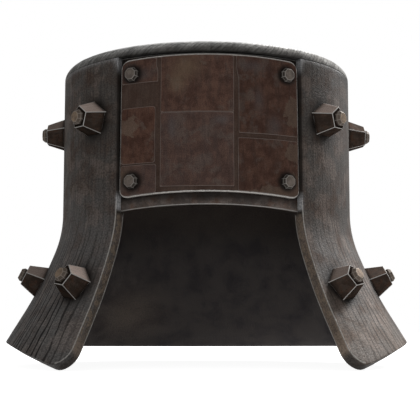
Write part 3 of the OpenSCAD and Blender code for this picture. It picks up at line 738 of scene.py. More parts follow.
# painted shade: round the studs, beside the plate, on the right towards the top and the side, and under the band
shade_round_parts = [painted_shade_at(a, s) if w < 3 else 0.0 for a, s, w in zip(az_of, drop, deep)]
far_right = near(az_of, 76, 18) * (drop < 130) * outer
under_rim = right * near(drop, 0, 9) * outer * (from_edge > 3)
to_the_right = (0.42 + 0.2 * near(drop, 0, 55, 4)) * far_right + (0.2 + 0.3 * far_right) * under_rim
note(strip, "soot_and_shade", np.max([shade_round_parts, 0.7 * beside_plate * near(from_edge, 0, 0.6),
                            0.3 * right * beyond(drop, 46, -9) * (drop > 1.5) * outer, to_the_right,
                            0.95 * near(drop, 116.9, 1.7, 4) * side], axis=0))

# no bright edge where the plate, the rim or the hem's shadow hides it, and a wider one on the inner side
hem_gap = np.array([hem_drop(a % 360) for a in az_of]) - drop
hidden = beside_plate * (from_edge < 12) + ((drop < 4) & outer) + ((hem_gap < 2.5) & (from_edge > 9))
note(strip, "edge", noted(strip, "edge") * (1 - 0.5 * side * (drop > 118) * (deep > WALL / 2)) + 6 * hidden)

# stained and bloomed with pale rust: the opening's side, its lower tip and the inside; the right cheek's skirt is
# made paler as painted light
side_face = side * (drop > 116) * (deep < WALL - 0.5)
note(strip, "stain", 0.5 * side_face)
bloom_and_light = side_face * (np.where(right, 0.35, 0.12) + 0.7 * beyond(drop, CORNER_S - 26, 4))
bloom_and_light += innermost * (0.4 * beyond(drop, 108, -8) + 0.45 * near(az_of, 211, 14) * near(drop, 190, 24))
# painted light: the lower right skirt is made paler
bloom_and_light += 0.16 * right * (deep < 1) * beyond(drop, 190, 16) * (az_of < 70) * (1 - side_face)
note(strip, "bloom_and_light", bloom_and_light)

# brushed: most on the skirt's two sides
sides = beyond(spread_az, 41, 3) * beyond(spread_az, 112, -9)
note(strip, "grain", np.clip(0.1 + 0.9 * sides * (0.16 + 0.84 * beyond(drop, 146, 13)), 0, 1))
bent = grow(strip, bend, {**SIZES, "Material": wall_iron}, "shell_wall")
show("shell_wall", bent, ["shell"])

# %% [markdown]
# ## The brow band, the brow plate and its sheets
# These are bent sheets too, only without a flare, so the same tree bends them with its two leans at nothing.
# The plate has rounded corners and arched edges. Seven thin sheets lie on it, and their edges show as fine
# lines. We draw each as a row of columns that run from its lower edge to its upper one.

# %% Helper: a sheet between two edges
def across(x0, x1, corner, step):
    """Places across a sheet, closer together where its corners round off."""
    turns = [corner * (1 - math.cos(math.radians(t))) for t in (0, 20, 40, 60, 78)]
    middle = np.linspace(x0 + corner, x1 - corner, max(3, int((x1 - x0 - 2 * corner) / step)))
    return [x0 + t for t in turns] + list(middle) + [x1 - t for t in reversed(turns)]


def rounded(x, x0, x1, corner):
    """How much a corner takes off the height at x."""
    away = corner - min(x - x0, x1 - x)
    return corner - math.sqrt(max(corner * corner - away * away, 0)) if away > 0 else 0.0


def eased(z, low, high):
    """0 below low, 1 above high, straight between."""
    return np.clip((z - low) / (high - low), 0.0, 1.0)


# the plate and its sheets are this much wider per mm below WIDTH_Z
WIDER_BELOW, WIDTH_Z = 0.00014, 165


def upright_sheet(name, face_r, thick, x0, x1, low, high, corner, edge, material, step=2.6, layers=2, notes=None,
                  left=lambda z: 0.0, right=lambda z: 0.0):
    """A sheet on a cylinder of radius face_r, a little wider below. Widths are as seen from the front, and left and
    right move its two sides at a height."""
    turn = max(corner - edge, 0.25)
    xs = across(x0 + edge, x1 - edge, turn, step)
    count = max(3, int((high(0.5 * (x0 + x1)) - low(0.5 * (x0 + x1))) / step))
    grid = np.zeros((len(xs), count + 1, 2))
    for i, x in enumerate(xs):
        off = rounded(x, x0 + edge, x1 - edge, turn) + edge
        top, bottom = high(x) - off, low(x) + off
        part = (x - x0) / (x1 - x0)
        for j in range(count + 1):
            z = top + (bottom - top) * j / count
            moved = (x + left(z) * (1 - part) + right(z) * part) * (1 + WIDER_BELOW * (WIDTH_Z - z))
            grid[i, j] = (math.asin(moved / face_r) * face_r, TOP - z)
    mesh = flat_sheet(name, grid, np.full(grid.shape[:2], thick), edge, layers=layers)
    for label, rule in (notes or {}).items():
        note(mesh, label, [rule(face_r * math.sin(u / face_r), TOP - s) for u, s, _ in points_of(mesh)])
    return grow(mesh, bend, {**plain_round(face_r), "Material": material}, name)


def joined(name, meshes):
    whole = bmesh.new()
    for mesh in meshes:
        whole.from_mesh(mesh)
    made = bpy.data.meshes.new(name)
    whole.to_mesh(made)
    whole.free()
    return one_material(made, meshes[0].materials[0])


print("a 4 mm corner takes", round(rounded(0.5, 0, 20, 4), 2), "mm off at 0.5 mm from the side")

# %% Band iron and the brow band
band_iron = iron("band iron", paint(106, 97, 92), paint(96, 76, 65), paint(34, 29, 26), paint(176, 174, 170),
                 patina=(paint(70, 64, 61), 0.009, 0.5), streak=0.08, lines=0.05, edge_width=0.5,
                 edge_ragged=1.1, cloud_size=0.008, speck=0.42)
end_x = BAND_R * math.sin(math.radians(OPEN))
arch_r = (end_x ** 2 + BAND_ARCH ** 2) / (2 * BAND_ARCH)


def band_low(x):
    return BAND_LOW - (arch_r - math.sqrt(arch_r ** 2 - x * x) if abs(x) < end_x else BAND_ARCH)


grid = np.zeros((85, 46, 2))
for i, az in enumerate(np.radians(np.linspace(0.3 - BAND_AZ, BAND_AZ - 0.3, 85))):
    grid[i, :, 0] = az * BAND_R
    grid[i, :, 1] = TOP - np.linspace(BAND_TOP, band_low(BAND_R * math.sin(az)) + EDGE, 46)
strip = flat_sheet("band_flat", grid, np.full(grid.shape[:2], BAND_THICK), EDGE, layers=2)
# painted shade on the band where it runs under the brow plate
note(strip, "soot_and_shade", 0.9 * eased(TOP - points_of(strip)[:, 1], 107, 112))
band = grow(strip, bend, {**plain_round(BAND_R), "Material": band_iron}, "brow_band_strip")
show("brow_band_strip", band, ["brow_band"])

# %% The rusty plate
rusty = iron("rusty plate", paint(74, 60, 53), paint(66, 51, 44), paint(36, 24, 21), paint(214, 211, 206),
             streak=0.14, lines=0.1, cloud_size=0.014, amount=0.5, edge_width=1.0, edge_strength=0.95,
             edge_ragged=0.7, speck=0.2)
PLATE_R, PLATE_THICK, PLATE_HALF, PLATE_CORNER = 115.7, 3.8, 66.7, 6.5
# the brow rivets: how far in from the plate's side, and their two heights
RIVET_IN, BROW_ROWS = 11.2, (204.5, 124.3)
BROW_AZ = math.degrees(math.asin(PLATE_HALF / PLATE_R) - math.asin(RIVET_IN / PLATE_R))


def plate_top(x):
    return 217.4 - 1.6 * (x / PLATE_HALF) ** 2


def plate_low(x):
    return 115.2 - 3.4 * (x / PLATE_HALF) ** 2


plate = upright_sheet("brow_plate_body", PLATE_R, PLATE_THICK, -PLATE_HALF, PLATE_HALF, plate_low, plate_top,
                      PLATE_CORNER, 0.7, rusty)
# the sides are less rubbed than the upper and lower edges
place = points_of(plate)
at_side = (np.abs(place[:, 0]) > PLATE_HALF - 2.2) & (place[:, 2] > 118) & (place[:, 2] < 211)
note(plate, "edge", noted(plate, "edge") + 0.38 * at_side)
show("brow_plate_body", plate, ["brow_plate"])

# %% The thin sheets on the plate
sheet_rust = iron("rusty sheet", paint(90, 65, 54), paint(70, 48, 40), paint(30, 22, 20), paint(122, 110, 104),
                  patina=(paint(92, 79, 72), 0.012, 0.42), veil=(paint(50, 38, 34), 0.42), across=0.001,
                  along=0.006, streak=0.15, spacing=0.0045, lines=0.08, cloud_size=0.008, amount=0.5, speck=0.42,
                  edge_width=0.5, edge_strength=0.7, edge_ragged=0.3, rub_and_light=paint(86, 77, 75),
                  stain=paint(99, 83, 72), bloom_and_light=paint(112, 96, 78))
SHEET_R, SIDE = 116.2, PLATE_HALF - 1
# left, right, low and high edge, corner radius, and how grey and how dirty the sheet is
SHEETS = [(-SIDE, -38.4, 197.5, 219, 0.6, 0.1, 0.05), (-SIDE, -40.2, 137.1, 179.3, 2.0, 0.0, 0.0),
          (-SIDE, -39.3, 110, 136.3, 1.5, 0.35, 0.0), (-36.4, 17.4, 174.0, 219, 0.6, 0.1, 0.0),
          (-36.4, 17.4, 119.2, 173.9, 0.6, 0.3, 0.06), (20.9, SIDE, 158.6, 219, 1.0, 0.0, 0.24),
          (20.3, SIDE, 110, 155.3, 1.0, 0.0, 0.22)]
# patches: middle across, middle height, half width and half height
STAINS = [(50, 116.5, 17, 5), (63, 123, 5, 9), (63, 177, 7, 11), (64, 146, 8, 8), (-60, 165, 6.5, 7.5)]
GREY_PATCHES = [(30, 209, 12, 4), (36, 183, 3.5, 9), (48, 165, 5, 7), (-52, 204, 9, 4), (8, 168, 6, 3),
                (-28, 163, 3, 8)]
TAN_PATCHES = [(-17, 208, 10, 8), (-24, 196, 6, 7), (-63, 128, 4, 6)]


def patch_at(x, z, patches):
    return min(1.0, sum(math.exp(-((x - a) / w) ** 2 - ((z - b) / h) ** 2) for a, b, w, h in patches))


def stain_at(x, z):
    return max(0.0, 1.2 - 0.7 * min(math.hypot((x - a) / w, (z - b) / h) for a, b, w, h in STAINS))


# painted shade round the heads of the brow rivets
def brow_rivet_shade(x, z, head_r=5.6, fade=2.6):
    rivet_x = SHEET_R * math.sin(math.radians(BROW_AZ))
    gap = min(math.hypot(x - sx * rivet_x, z - sz) for sx in (-1, 1) for sz in BROW_ROWS) - head_r
    return math.exp(-(max(gap, 0) / fade) ** 2)


def inside_plate(x, z, rim, way):
    """The height z, kept 1 mm inside the plate's upper edge (way 1) or lower edge (way -1)."""
    limit = rim(x) - way * (rounded(x, -PLATE_HALF, PLATE_HALF, PLATE_CORNER) + 1)
    return min(z, limit) if way > 0 else max(z, limit)


laid = []
for k, (x0, x1, low, high, corner, grey, dirt_and_shade) in enumerate(SHEETS):
    # each sheet's own dirt, and painted shade round the brow rivets
    marks = {"stain": stain_at, "soot_and_shade": lambda x, z: max(dirt_and_shade, brow_rivet_shade(x, z)), "shift": lambda x, z: 0.11 * k,
             "rub_and_light": lambda x, z: min(1, grey + 0.7 * patch_at(x, z, GREY_PATCHES)),
             "bloom_and_light": lambda x, z: 0.6 * patch_at(x, z, TAN_PATCHES)}
    # the first sheet is notched at its right, and the sixth one slants at its left
    laid.append(upright_sheet(
        f"sheet_{k}", SHEET_R, 0.56, x0, x1, lambda x: inside_plate(x, low, plate_low, -1),
        lambda x: inside_plate(x, high, plate_top, 1), corner, 0.2, sheet_rust, step=1.5, layers=1, notes=marks,
        left=lambda z: -1.6 * eased(z, 199, 207) if k == 5 else 0.0,
        right=lambda z: -1.0 * eased(z, 207, 208.5) if k == 0 else 0.0))
show("brow_sheets", joined("brow_sheets", laid))

# %% [markdown]
# ## Turned and faceted parts
# The crown, washers and rivet tails are round, and the studs and rivet heads have flat faces. Both helpers
# store the distance to the nearest sharp edge, so that one finish can draw the bright worn lines on each.

# %% Helper: a turned part
def turned(name, outline, steps, sharp=(), circle_r=None):
    """outline runs from the axis to the axis, or round in a ring, as (radius, height) in mm."""
    closed = outline[0][0] > 1e-6
    count = len(outline)
    run = [0.0]
    for a, b in zip(outline, outline[1:]):
        run.append(run[-1] + math.dist(a, b))
    points, far, index = [], [], []
    for k, (r, z) in enumerate(outline):
        ring = 1 if r < 1e-6 else steps
        index.append(range(len(points), len(points) + ring))
        for a in (2 * math.pi * i / steps for i in range(ring)):
            points.append((r * math.sin(a), -r * math.cos(a), z))
            far.append(min((abs(run[k] - run[s]) for s in sharp), default=9.0))
    faces, flats = [], []
    size = circle_r or max(r for r, _ in outline)
    for k in range(count if closed else count - 1):
        upper, lower = index[k], index[(k + 1) % count]
        ra, rb = run[k], run[k] + math.dist(outline[k], outline[(k + 1) % count])
        for i in range(steps):
            n = (i + 1) % steps
            u0, u1 = (2 * math.pi * t / steps * size for t in (i, i + 1))
            if len(upper) == 1:
                faces.append((upper[0], lower[i], lower[n]))
                flats += [((u0 + u1) / 2, ra), (u0, rb), (u1, rb)]
            elif len(lower) == 1:
                faces.append((upper[i], lower[0], upper[n]))
                flats += [(u0, ra), ((u0 + u1) / 2, rb), (u1, ra)]
            else:
                faces.append((upper[i], lower[i], lower[n], upper[n]))
                flats += [(u0, ra), (u0, rb), (u1, rb), (u1, ra)]
    mesh = mesh_of(name, points, faces)
    note(mesh, "edge", far)
    lay_flat(mesh, flats)
    return mesh


print("a head of 6 mm in 24 steps is out of round by", round(3 * (1 - math.cos(math.pi / 24)), 3), "mm")

# %% Helper: a faceted part
def faceted(name, sides, levels, start, soft, ring, wear_and_light, painted_shade, cuts=()):
    """A stack of many-sided outlines (height, corner radius), with softened edges and a ring inside each face. Two
    rules give each point its painted light and its painted shade.
    """
    block = bmesh.new()
    angles = [math.radians(start + 360 * k / sides) for k in range(sides)]
    rows = [[block.verts.new(Vector((r * math.cos(a), r * math.sin(a), z))) for a in angles] for z, r in levels]
    for lower, upper in zip(rows, rows[1:]):
        for k in range(sides):
            n = (k + 1) % sides
            block.faces.new((lower[k], lower[n], upper[n], upper[k]))
    block.faces.new(rows[-1])
    block.faces.new(list(reversed(rows[0])))
    block.normal_update()
    sharp = [e for e in block.edges if e.calc_face_angle() > 0.2]
    lines = np.array([[tuple(v.co) for v in e.verts] for e in sharp])
    bmesh.ops.inset_individual(block, faces=block.faces[:], thickness=ring, use_even_offset=True)
    bmesh.ops.bevel(block, geom=sharp, offset=soft, segments=2, profile=0.5, affect="EDGES", clamp_overlap=False)
    for z in cuts:
        bmesh.ops.bisect_plane(block, geom=block.verts[:] + block.edges[:] + block.faces[:], plane_co=(0, 0, z),
                               plane_no=(0, 0, 1))
    block.normal_update()
    # painted light and painted shade for each point, from the two rules given
    painted_light = [wear_and_light(v.co, v.normal) for v in block.verts]
    dirt_and_shade = [painted_shade(v.co, v.normal) for v in block.verts]
    # how far each point is from the nearest of the sharp edges
    places = np.array([tuple(v.co) for v in block.verts])[:, None]
    a, b = lines[:, 0][None], lines[:, 1][None]
    t = np.clip(((places - a) * (b - a)).sum(2) / ((b - a) ** 2).sum(2), 0, 1)
    gaps = np.linalg.norm(places - (a + t[..., None] * (b - a)), axis=2).min(1)
    layer = block.loops.layers.uv.new("flat")
    for face in block.faces:
        side = Vector((-face.normal.y, face.normal.x, 0)) if face.normal.xy.length > 0.2 else Vector((1, 0, 0))
        side.normalize()
        rise = face.normal.cross(side)
        own = 0.013 * (int(face.calc_center_median().xy.angle_signed(Vector((1, 0)), 0) * 3) % 7)
        for loop in face.loops:
            loop[layer].uv = (loop.vert.co.dot(side) * mm + own, loop.vert.co.dot(rise) * mm + own)
    for vert in block.verts:
        vert.co *= mm
    mesh = bpy.data.meshes.new(name)
    block.to_mesh(mesh)
    block.free()
    for label, values in (("edge", np.maximum(gaps - 0.3 * soft, 0)), ("rub_and_light", painted_light), ("soot_and_shade", dirt_and_shade)):
        note(mesh, label, values)
    return mesh


STUD_FOOT, STUD_TIP, STUD_H, STUD_ROOT = 14.2, 9.1, 14.4, 3.1
root_r = STUD_FOOT + (STUD_FOOT - STUD_TIP) / STUD_H * STUD_ROOT
# painted highlight on the upper faces, growing towards the tip; painted shade on the tip face round the rivet, at the
# foot and on the faces turned down
stud_unit = faceted("stud_unit", 5, [(-STUD_ROOT, root_r), (0.0, STUD_FOOT), (STUD_H, STUD_TIP)], start=90,
                    soft=0.4, ring=1.1,
                    wear_and_light=lambda place, aim: 0.85 * (aim.y > 0.5 and aim.z < 0.6) * min(1, 0.45 + place.z / 9),
                    painted_shade=lambda place, aim: max(0.75 * (aim.z > 0.9), 0.8 * max(0.0, 1 - max(place.z, 0) / 2.2),
                                                 0.3 * (aim.y < -0.5)), cuts=(0.6, 2.0, 4.5))
print("a stud has", len(stud_unit.polygons), "faces")

# %% [markdown]
# ## Seating parts on the wall
# Studs, rivets and washers all sit square to the wall at some way round and some way down it. The tree takes
# one point for each, with those numbers stored on it, works out the place from the wall's own rule, and
# copies the part there. Nothing is fitted by eye.

# %% Tree: seat parts on the wall
seat, at, to = group_of("Seat on the wall", "GeometryNodeTree",
                        [("Geometry", "Geometry", None), ("Part", "Object", None)] + SIZE_INPUTS
                        + [("Variety Seed", "Int", 7), ("Material", "Material", None)], [("Geometry", "Geometry")])
plus, minus, times = maths(seat)
kept = {name: put(seat, "GeometryNodeInputNamedAttribute", {"Name": name}, data_type="FLOAT").outputs["Attribute"]
        for name in ("azimuth", "drop", "turn", "lift")}
rule = wall_rule(seat, at, kept["drop"])
radius = plus(rule["Radius"], times(kept["lift"], sum_of(seat, "COSINE", rule["Lean"])))
height = plus(rule["Height"], times(kept["lift"], sum_of(seat, "SINE", rule["Lean"])))
place = round_place(seat, radius, kept["azimuth"], height)
spots = put(seat, "GeometryNodeSetPosition", {"Geometry": at["Geometry"], "Position": place}).outputs[0]
# the part's own axis points out of the wall, and the part turns about it
aim = combined(seat, minus(math.pi / 2, rule["Lean"]), 0.0, kept["azimuth"])
facing = put(seat, "FunctionNodeEulerToRotation", {0: aim}).outputs[0]
twist = put(seat, "FunctionNodeEulerToRotation", {0: combined(seat, 0.0, 0.0, kept["turn"])}).outputs[0]
facing = put(seat, "FunctionNodeRotateRotation", {0: facing, 1: twist}, rotation_space="LOCAL").outputs[0]
part = put(seat, "GeometryNodeObjectInfo", {"Object": at["Part"]}).outputs["Geometry"]
copies = put(seat, "GeometryNodeInstanceOnPoints", {"Points": spots, "Instance": part, "Rotation": facing}).outputs[0]
chance = put(seat, "FunctionNodeRandomValue", {"Seed": at["Variety Seed"]}, data_type="FLOAT").outputs[1]
marked = put(seat, "GeometryNodeStoreNamedAttribute", {"Geometry": copies, "Name": "shift", "Value": chance},
             data_type="FLOAT", domain="INSTANCE").outputs[0]
close_tree(seat, marked, at, to)


# %% Helper: seat a part at many places
def seated(name, unit, places, material, seed=7, sizes=SIZES):
    """places are (azimuth in degrees, distance down the wall in mm, turn in degrees, lift in mm)."""
    dots = mesh_of(name + "_places", [(0, 0, 0)] * len(places), [])
    degree = math.radians(1)
    for label, unit_size, values in zip(("azimuth", "drop", "turn", "lift"), (degree, mm, degree, mm), zip(*places)):
        note(dots, label, [value * unit_size for value in values])
    sample = bpy.data.objects.new(name + "_part", unit)
    made = grow(dots, seat, {**sizes, "Part": sample, "Variety Seed": seed, "Material": material}, name)
    bpy.data.objects.remove(sample)
    return made


print("seated parts take", len(SIZES), "sizes of the wall")

# %% [markdown]
# ## The eight studs
# Each stud is a five-sided block with one corner up, a little narrower at its tip. The lower ones are turned
# a little about their own axes. They were forged one by one, so each gets its own patch of rust. Their upper
# faces carry a painted highlight, and painted shade darkens their tips round the rivets, their feet and their
# undersides.

# %% Studs
# the pale rub colour is the painted highlight on the studs' upper faces, the bloom colour tints it, and the soot is
# painted shade
stud_iron = iron("stud iron", paint(66, 57, 51), paint(74, 55, 45), paint(30, 24, 21), paint(206, 203, 199),
                 patina=(paint(50, 42, 37), 0.007, 0.5), rub_and_light=paint(240, 224, 214), streak=0.1, lines=0.12,
                 spacing=0.0034, along=0.006, cloud_size=0.005, amount=0.45, speck=0.42, edge_width=0.3,
                 edge_strength=0.9, edge_ragged=0.4, bloom_and_light=paint(150, 100, 78), gloss=0.0, metal=0.06)
# how strong the painted highlight on the upper faces of each stud is, on the left and on the right
UPPER_HIGHLIGHT = {"upper_stud_front": (0.6, 0.3), "upper_stud_side": (0.2, 0.0), "lower_stud_front": (1.1, 0.25),
        "lower_stud_side": (0.35, 0.05)}
for k, (label, (az, z, turn)) in enumerate(STUDS.items()):
    for side, sign, highlight_strength in zip(("left", "right"), (-1, 1), UPPER_HIGHLIGHT[label]):
        name = f"{label}_{side}"
        block = seated(name + "_block", stud_unit, [(sign * az, drop_at(z), sign * turn, 0)], stud_iron,
                       seed=11 + 3 * k + (sign > 0))
        painted_light = noted(block, "rub_and_light") * highlight_strength
        note(block, "rub_and_light", painted_light)
        # the painted highlight also takes a warm pale tint
        note(block, "bloom_and_light", 0.35 * painted_light)
        show(name + "_block", block, [name])

# %% [markdown]
# ## Rivets and washers
# Every rivet is a forged eight-sided head outside and a peened tail on a washer inside. One head and one tail
# are made for each size, and the seating tree copies them to their places.

# %% Rivet heads, tails and washers
# the light ground of both rivet irons is a painted highlight on the heads' tops, and their darker rub colour is
# painted shade on the heads' sides
rivet_iron = iron("rivet iron", paint(134, 116, 98), paint(108, 94, 82), paint(60, 50, 42), paint(176, 170, 162),
                  rub_and_light=paint(92, 82, 74), streak=0.1, lines=0.1, cloud_size=0.004, amount=0.5, speck=0.26,
                  edge_width=0.22, edge_strength=0.4, edge_ragged=0.7)
brow_rivet_iron = iron("brow rivet iron", paint(112, 103, 96), paint(92, 84, 78), paint(50, 43, 38),
                       paint(178, 174, 168), rub_and_light=paint(58, 53, 49), streak=0.1, lines=0.1, cloud_size=0.004,
                       amount=0.5, speck=0.3, edge_width=0.24, edge_strength=0.55, edge_ragged=0.7)
HEAD_H, WASHER = 4.0, 1.6


def rivet_head(name, r, top=0.8, h=HEAD_H):
    # painted shade: the sides below the top are darker, and darker still at the foot
    return faceted(name, 8, [(-0.6, r * 0.97), (0.45 * h, r), (h, top * r)], start=22.5, soft=0.25, ring=0.45,
                   wear_and_light=lambda place, aim: float(place.z < h - 0.12),
                   painted_shade=lambda place, aim: 0.75 * max(0.0, 1 - max(place.z, 0) / 1.4), cuts=(0.9,))


def rivet_tail(name, r, h=1.5):
    return turned(name, [(0, -h), (0.75 * r, -h), (1.0 * r, -h + 0.2), (1.25 * r, -h * 0.55), (1.5 * r, -0.35),
                         (1.6 * r, 0.0), (1.6 * r, 0.15), (0, 0.15)], 24, sharp=(2,))


def washer(name, r, hole, t=WASHER):
    return turned(name, [(hole, -t + 0.25), (hole + 0.25, -t), (r - 0.3, -t), (r, -t + 0.3), (r, -0.25),
                         (r - 0.25, 0.0), (hole + 0.25, 0.0), (hole, -0.25)], 40, sharp=(3, 4))


def riveted(kind, places, head, lift, tail, ring, material, seeds):
    """Heads stand at lift, washers lie at the lift given in places, and tails are peened on the washers."""
    heads = seated(kind + "_heads", head, [(*p[:3], lift) for p in places], material, seeds[0])
    tails = seated(kind + "_tails", tail, [(*p[:3], p[3] - WASHER) for p in places], material, seeds[1])
    both = joined(kind + "_rivet_heads", [heads, tails])
    show(kind + "_rivet_heads", both, [kind + "_rivets"])
    rounds = seated(kind + "_washer_rounds", ring, places, stud_iron, seeds[2])
    show(kind + "_washer_rounds", rounds, [kind + "_washers"])


# the washers lie deeper behind the upper studs, where the leather is
UNDER = {"upper_stud_front": -12.15, "upper_stud_side": -12.15, "lower_stud_front": -9.65, "lower_stud_side": -9.65}
studs = [(s * az, drop_at(z), s * turn, UNDER[label]) for label, (az, z, turn) in STUDS.items() for s in (1, -1)]
riveted("stud", studs, rivet_head("stud_head", 5.9, 0.72), STUD_H + 0.1, rivet_tail("stud_tail", 3.0),
        washer("stud_washer", 8.0, 3.1), rivet_iron, (7, 3, 5))
riveted("brow", [(s * BROW_AZ, TOP - z, 0, -9.5) for z in BROW_ROWS for s in (1, -1)],
        rivet_head("brow_head", 5.6), 116.3 - BARREL, rivet_tail("brow_tail", 2.4),
        washer("brow_washer", 5.76, 2.5), brow_rivet_iron, (9, 2, 4))
dome = turned("lining_head", [(0, 1.6), (1.4, 1.42), (2.6, 1.0), (3.5, 0.5), (4.1, 0.1), (4.2, -0.4), (0, -0.4)],
              32, sharp=(4,))
riveted("lining", [(az, TOP - z, 0, -12.01) for az, z in LINING_RIVETS], dome, 0.1, rivet_tail("lining_tail", 1.8),
        washer("lining_washer", 5.8, 1.9), rivet_iron, (6, 7, 8))

# %% [markdown]
# ## The crown
# The crown is a thick round plate with a quarter-round rim and a lip that drops inside the wall. It is turned
# about the helmet's axis. The rim is rubbed bright, with slanting strokes left by the file; a painted highlight
# makes it brighter towards its top, and painted shade darkens its lower part, most at the front.

# %% Crown
# the pale rub colour is partly wear on the rim and partly its painted highlight; the soot is painted shade
crown_iron = iron("crown iron", paint(84, 82, 79), paint(74, 69, 65), paint(34, 32, 31), paint(156, 155, 152),
                  patina=(paint(98, 93, 88), 0.025, 0.45), streak=0.5, lines=0.4, grain=True, spacing=0.003,
                  across=0.0018, along=0.007, turn=-0.75, rub_and_light=paint(220, 220, 218), edge_width=0.5,
                  edge_strength=0.8, metal=0.06, speck=0.3, gloss=0.0)
# the rim is a quarter circle round a ring at the wall's top, and the flat top ends at TOP_ENDS
RIM_AT, RIM_R, TOP_ENDS = 109, 9, 108.9
outline = [(0, TOP + RIM_R)] + [(r, TOP + RIM_R) for r in np.linspace(9, 107, 12)]
outline += [(RIM_AT + RIM_R * math.sin(a), TOP + RIM_R * math.cos(a)) for a in np.linspace(0, math.pi / 2 - 0.09, 12)]
# then back along the wall's top, and round the lip that drops inside the wall
outline += [(117.85, 219.35), (117.3, 219.05), (112, 219.02), (108.6, 219.02), (108.6, 215), (108.0, 214.2),
            (105.2, 214.2), (104.6, 215), (104.6, 219), (60, 219), (0, 219)]
mesh = turned("crown_round", outline, 240, circle_r=BARREL)
# the top is brushed straight across, so there the map is the plan
layer = mesh.uv_layers["flat"]
for polygon in mesh.polygons:
    if polygon.center.xy.length < TOP_ENDS * mm and polygon.center.z > (TOP + 5) * mm:
        for corner in polygon.loop_indices:
            layer.data[corner].uv = mesh.vertices[mesh.loops[corner].vertex_index].co.xy
out, up = (np.array(v) for v in zip(*[(v.co.xy.length / mm, v.co.z / mm) for v in mesh.vertices]))
way_round = np.array([math.atan2(v.co.x, -v.co.y) for v in mesh.vertices])
up_rim = np.where(out > TOP_ENDS, eased(up, TOP, TOP + RIM_R), 1.0)
# the rim is rubbed, and a painted highlight brightens it in three steps upwards; how much depends on the way round
top_rub_and_light = np.interp(way_round, (-1.4, -0.9, -0.5, 0.5, 1.0, 1.6), (0.2, 0.4, 0.85, 1.0, 0.1, 0.2))
mid_rub_and_light = np.interp(way_round, (0.1, 0.6), (0.38, 0.17))
LOW_RUB_AND_LIGHT = 0.17
steps = LOW_RUB_AND_LIGHT + (mid_rub_and_light - LOW_RUB_AND_LIGHT) * eased(up_rim, 0.3, 0.5) + (top_rub_and_light - mid_rub_and_light) * eased(up_rim, 0.7, 0.78)
note(mesh, "rub_and_light", eased(out, 106, 109) * steps * (up > 218.9))
# painted shade on the rim's lower part, strongest at the front
note(mesh, "soot_and_shade", (1 - eased(up_rim, 0.0, 0.55)) * (0.1 + 0.7 * near(way_round, 0, 0.85, 6)))
note(mesh, "inside", (up < 219.04) & (out < 112))
note(mesh, "grain", eased(out, 107, 110))
show("crown_round", one_material(mesh, crown_iron), ["crown_plate"])

# %% The crown's rivets, filed flush with the rim
FLUSH_AT, FLUSH_R, FLUSH_PROUD = 113.35, 3.2, 0.09
# each ring as a share of the radius, and how far it sinks
FLUSH_RINGS = ((0.0, 0.0), (0.5, 0.0), (0.8, 0.0), (0.93, 0.0), (1.0, 0.04), (1.0, 0.5))


def flush_head(az, steps=28):
    """A round patch that follows the rim: its middle is square to the rim at the rivet."""
    middle = math.asin((FLUSH_AT - RIM_AT) / RIM_R)
    points, far, flats = [], [], []
    for part, sink in FLUSH_RINGS:
        for i in range(steps if part else 1):
            t = 2 * math.pi * i / steps
            up, side = FLUSH_R * part * math.sin(t), FLUSH_R * part * math.cos(t)
            tilt, lift = middle + up / RIM_R, RIM_R + FLUSH_PROUD - sink
            r, a = RIM_AT + lift * math.sin(tilt), math.radians(az) + side / FLUSH_AT
            points.append((r * math.sin(a), -r * math.cos(a), TOP + lift * math.cos(tilt)))
            far.append(FLUSH_R * (1 - part) + 0.15)
            flats.append((side + az, up))
    faces = []
    for i in range(steps):
        n = (i + 1) % steps
        faces.append((0, 1 + i, 1 + n))
        for a in (1 + k * steps for k in range(4)):
            faces.append((a + i, a + steps + i, a + steps + n, a + n))
    faces.append([1 + 4 * steps + i for i in reversed(range(steps))])
    mesh = mesh_of("flush", points, faces)
    # the heads take a share of the rim's rub and painted highlight
    for label, values in (("edge", far), ("rub_and_light", [0.25] * len(points)), ("grain", [0.6] * len(points))):
        note(mesh, label, values)
    lay_flat(mesh, np.array(flats)[corners_of(mesh)])
    return one_material(mesh, crown_iron)


filed = joined("crown_rivets_filed", [flush_head(60 + 40 * k) for k in range(7)])
show("crown_rivets_filed", filed, ["crown_rivets"])

# %% [markdown]
# ## The leather lining band
# Inside, a strip of leather keeps the head off the iron. It is bent like the other sheets, ends in a butt
# joint, and is sewn along both edges. The stitches are seated with the same tree as the rivets.

# %% Leather
leather, tree, shader = new_material("dark leather")
where = put(tree, "ShaderNodeUVMap", uv_map="flat").outputs[0]
clouds = put(tree, "ShaderNodeGroup", {"Cloud Size": 0.018, "Vector": where}, node_tree=stained).outputs["Mask"]
wear_and_light = put(tree, "ShaderNodeGroup", {"Width": 1.6, "Vector": where, "Distance": read_number(tree, "edge")},
             node_tree=worn).outputs["Mask"]
pores = put(tree, "ShaderNodeTexVoronoi", {"Vector": where, "Scale": 900.0},
            feature="DISTANCE_TO_EDGE").outputs["Distance"]
crease = grains(tree, where, 160.0, 5.0)
colour = tint(tree, clouds, paint(84, 58, 40), paint(58, 40, 28))
colour = tint(tree, step_between(tree, pores, 0.12, 0.0), colour, paint(38, 27, 20))
colour = tint(tree, sum_of(tree, "MULTIPLY", wear_and_light, 0.6), colour, paint(128, 94, 66))
hide = sum_of(tree, "ADD", step_between(tree, pores, 0.0, 0.16), crease)
for socket, value in (
        ("Base Color", colour),
        ("Roughness", put(tree, "ShaderNodeMapRange", {"Value": crease, "To Min": 0.42, "To Max": 0.72}).outputs[0]),
        ("Normal", put(tree, "ShaderNodeBump", {"Height": hide, "Strength": 0.35, "Distance": 0.0004}).outputs[0])):
    tree.links.new(value, shader.inputs[socket])
LEATHER_R, LEATHER_LOW, LEATHER_HIGH, LEATHER_THICK = 108.6, 149.04, 194.04, 2.4
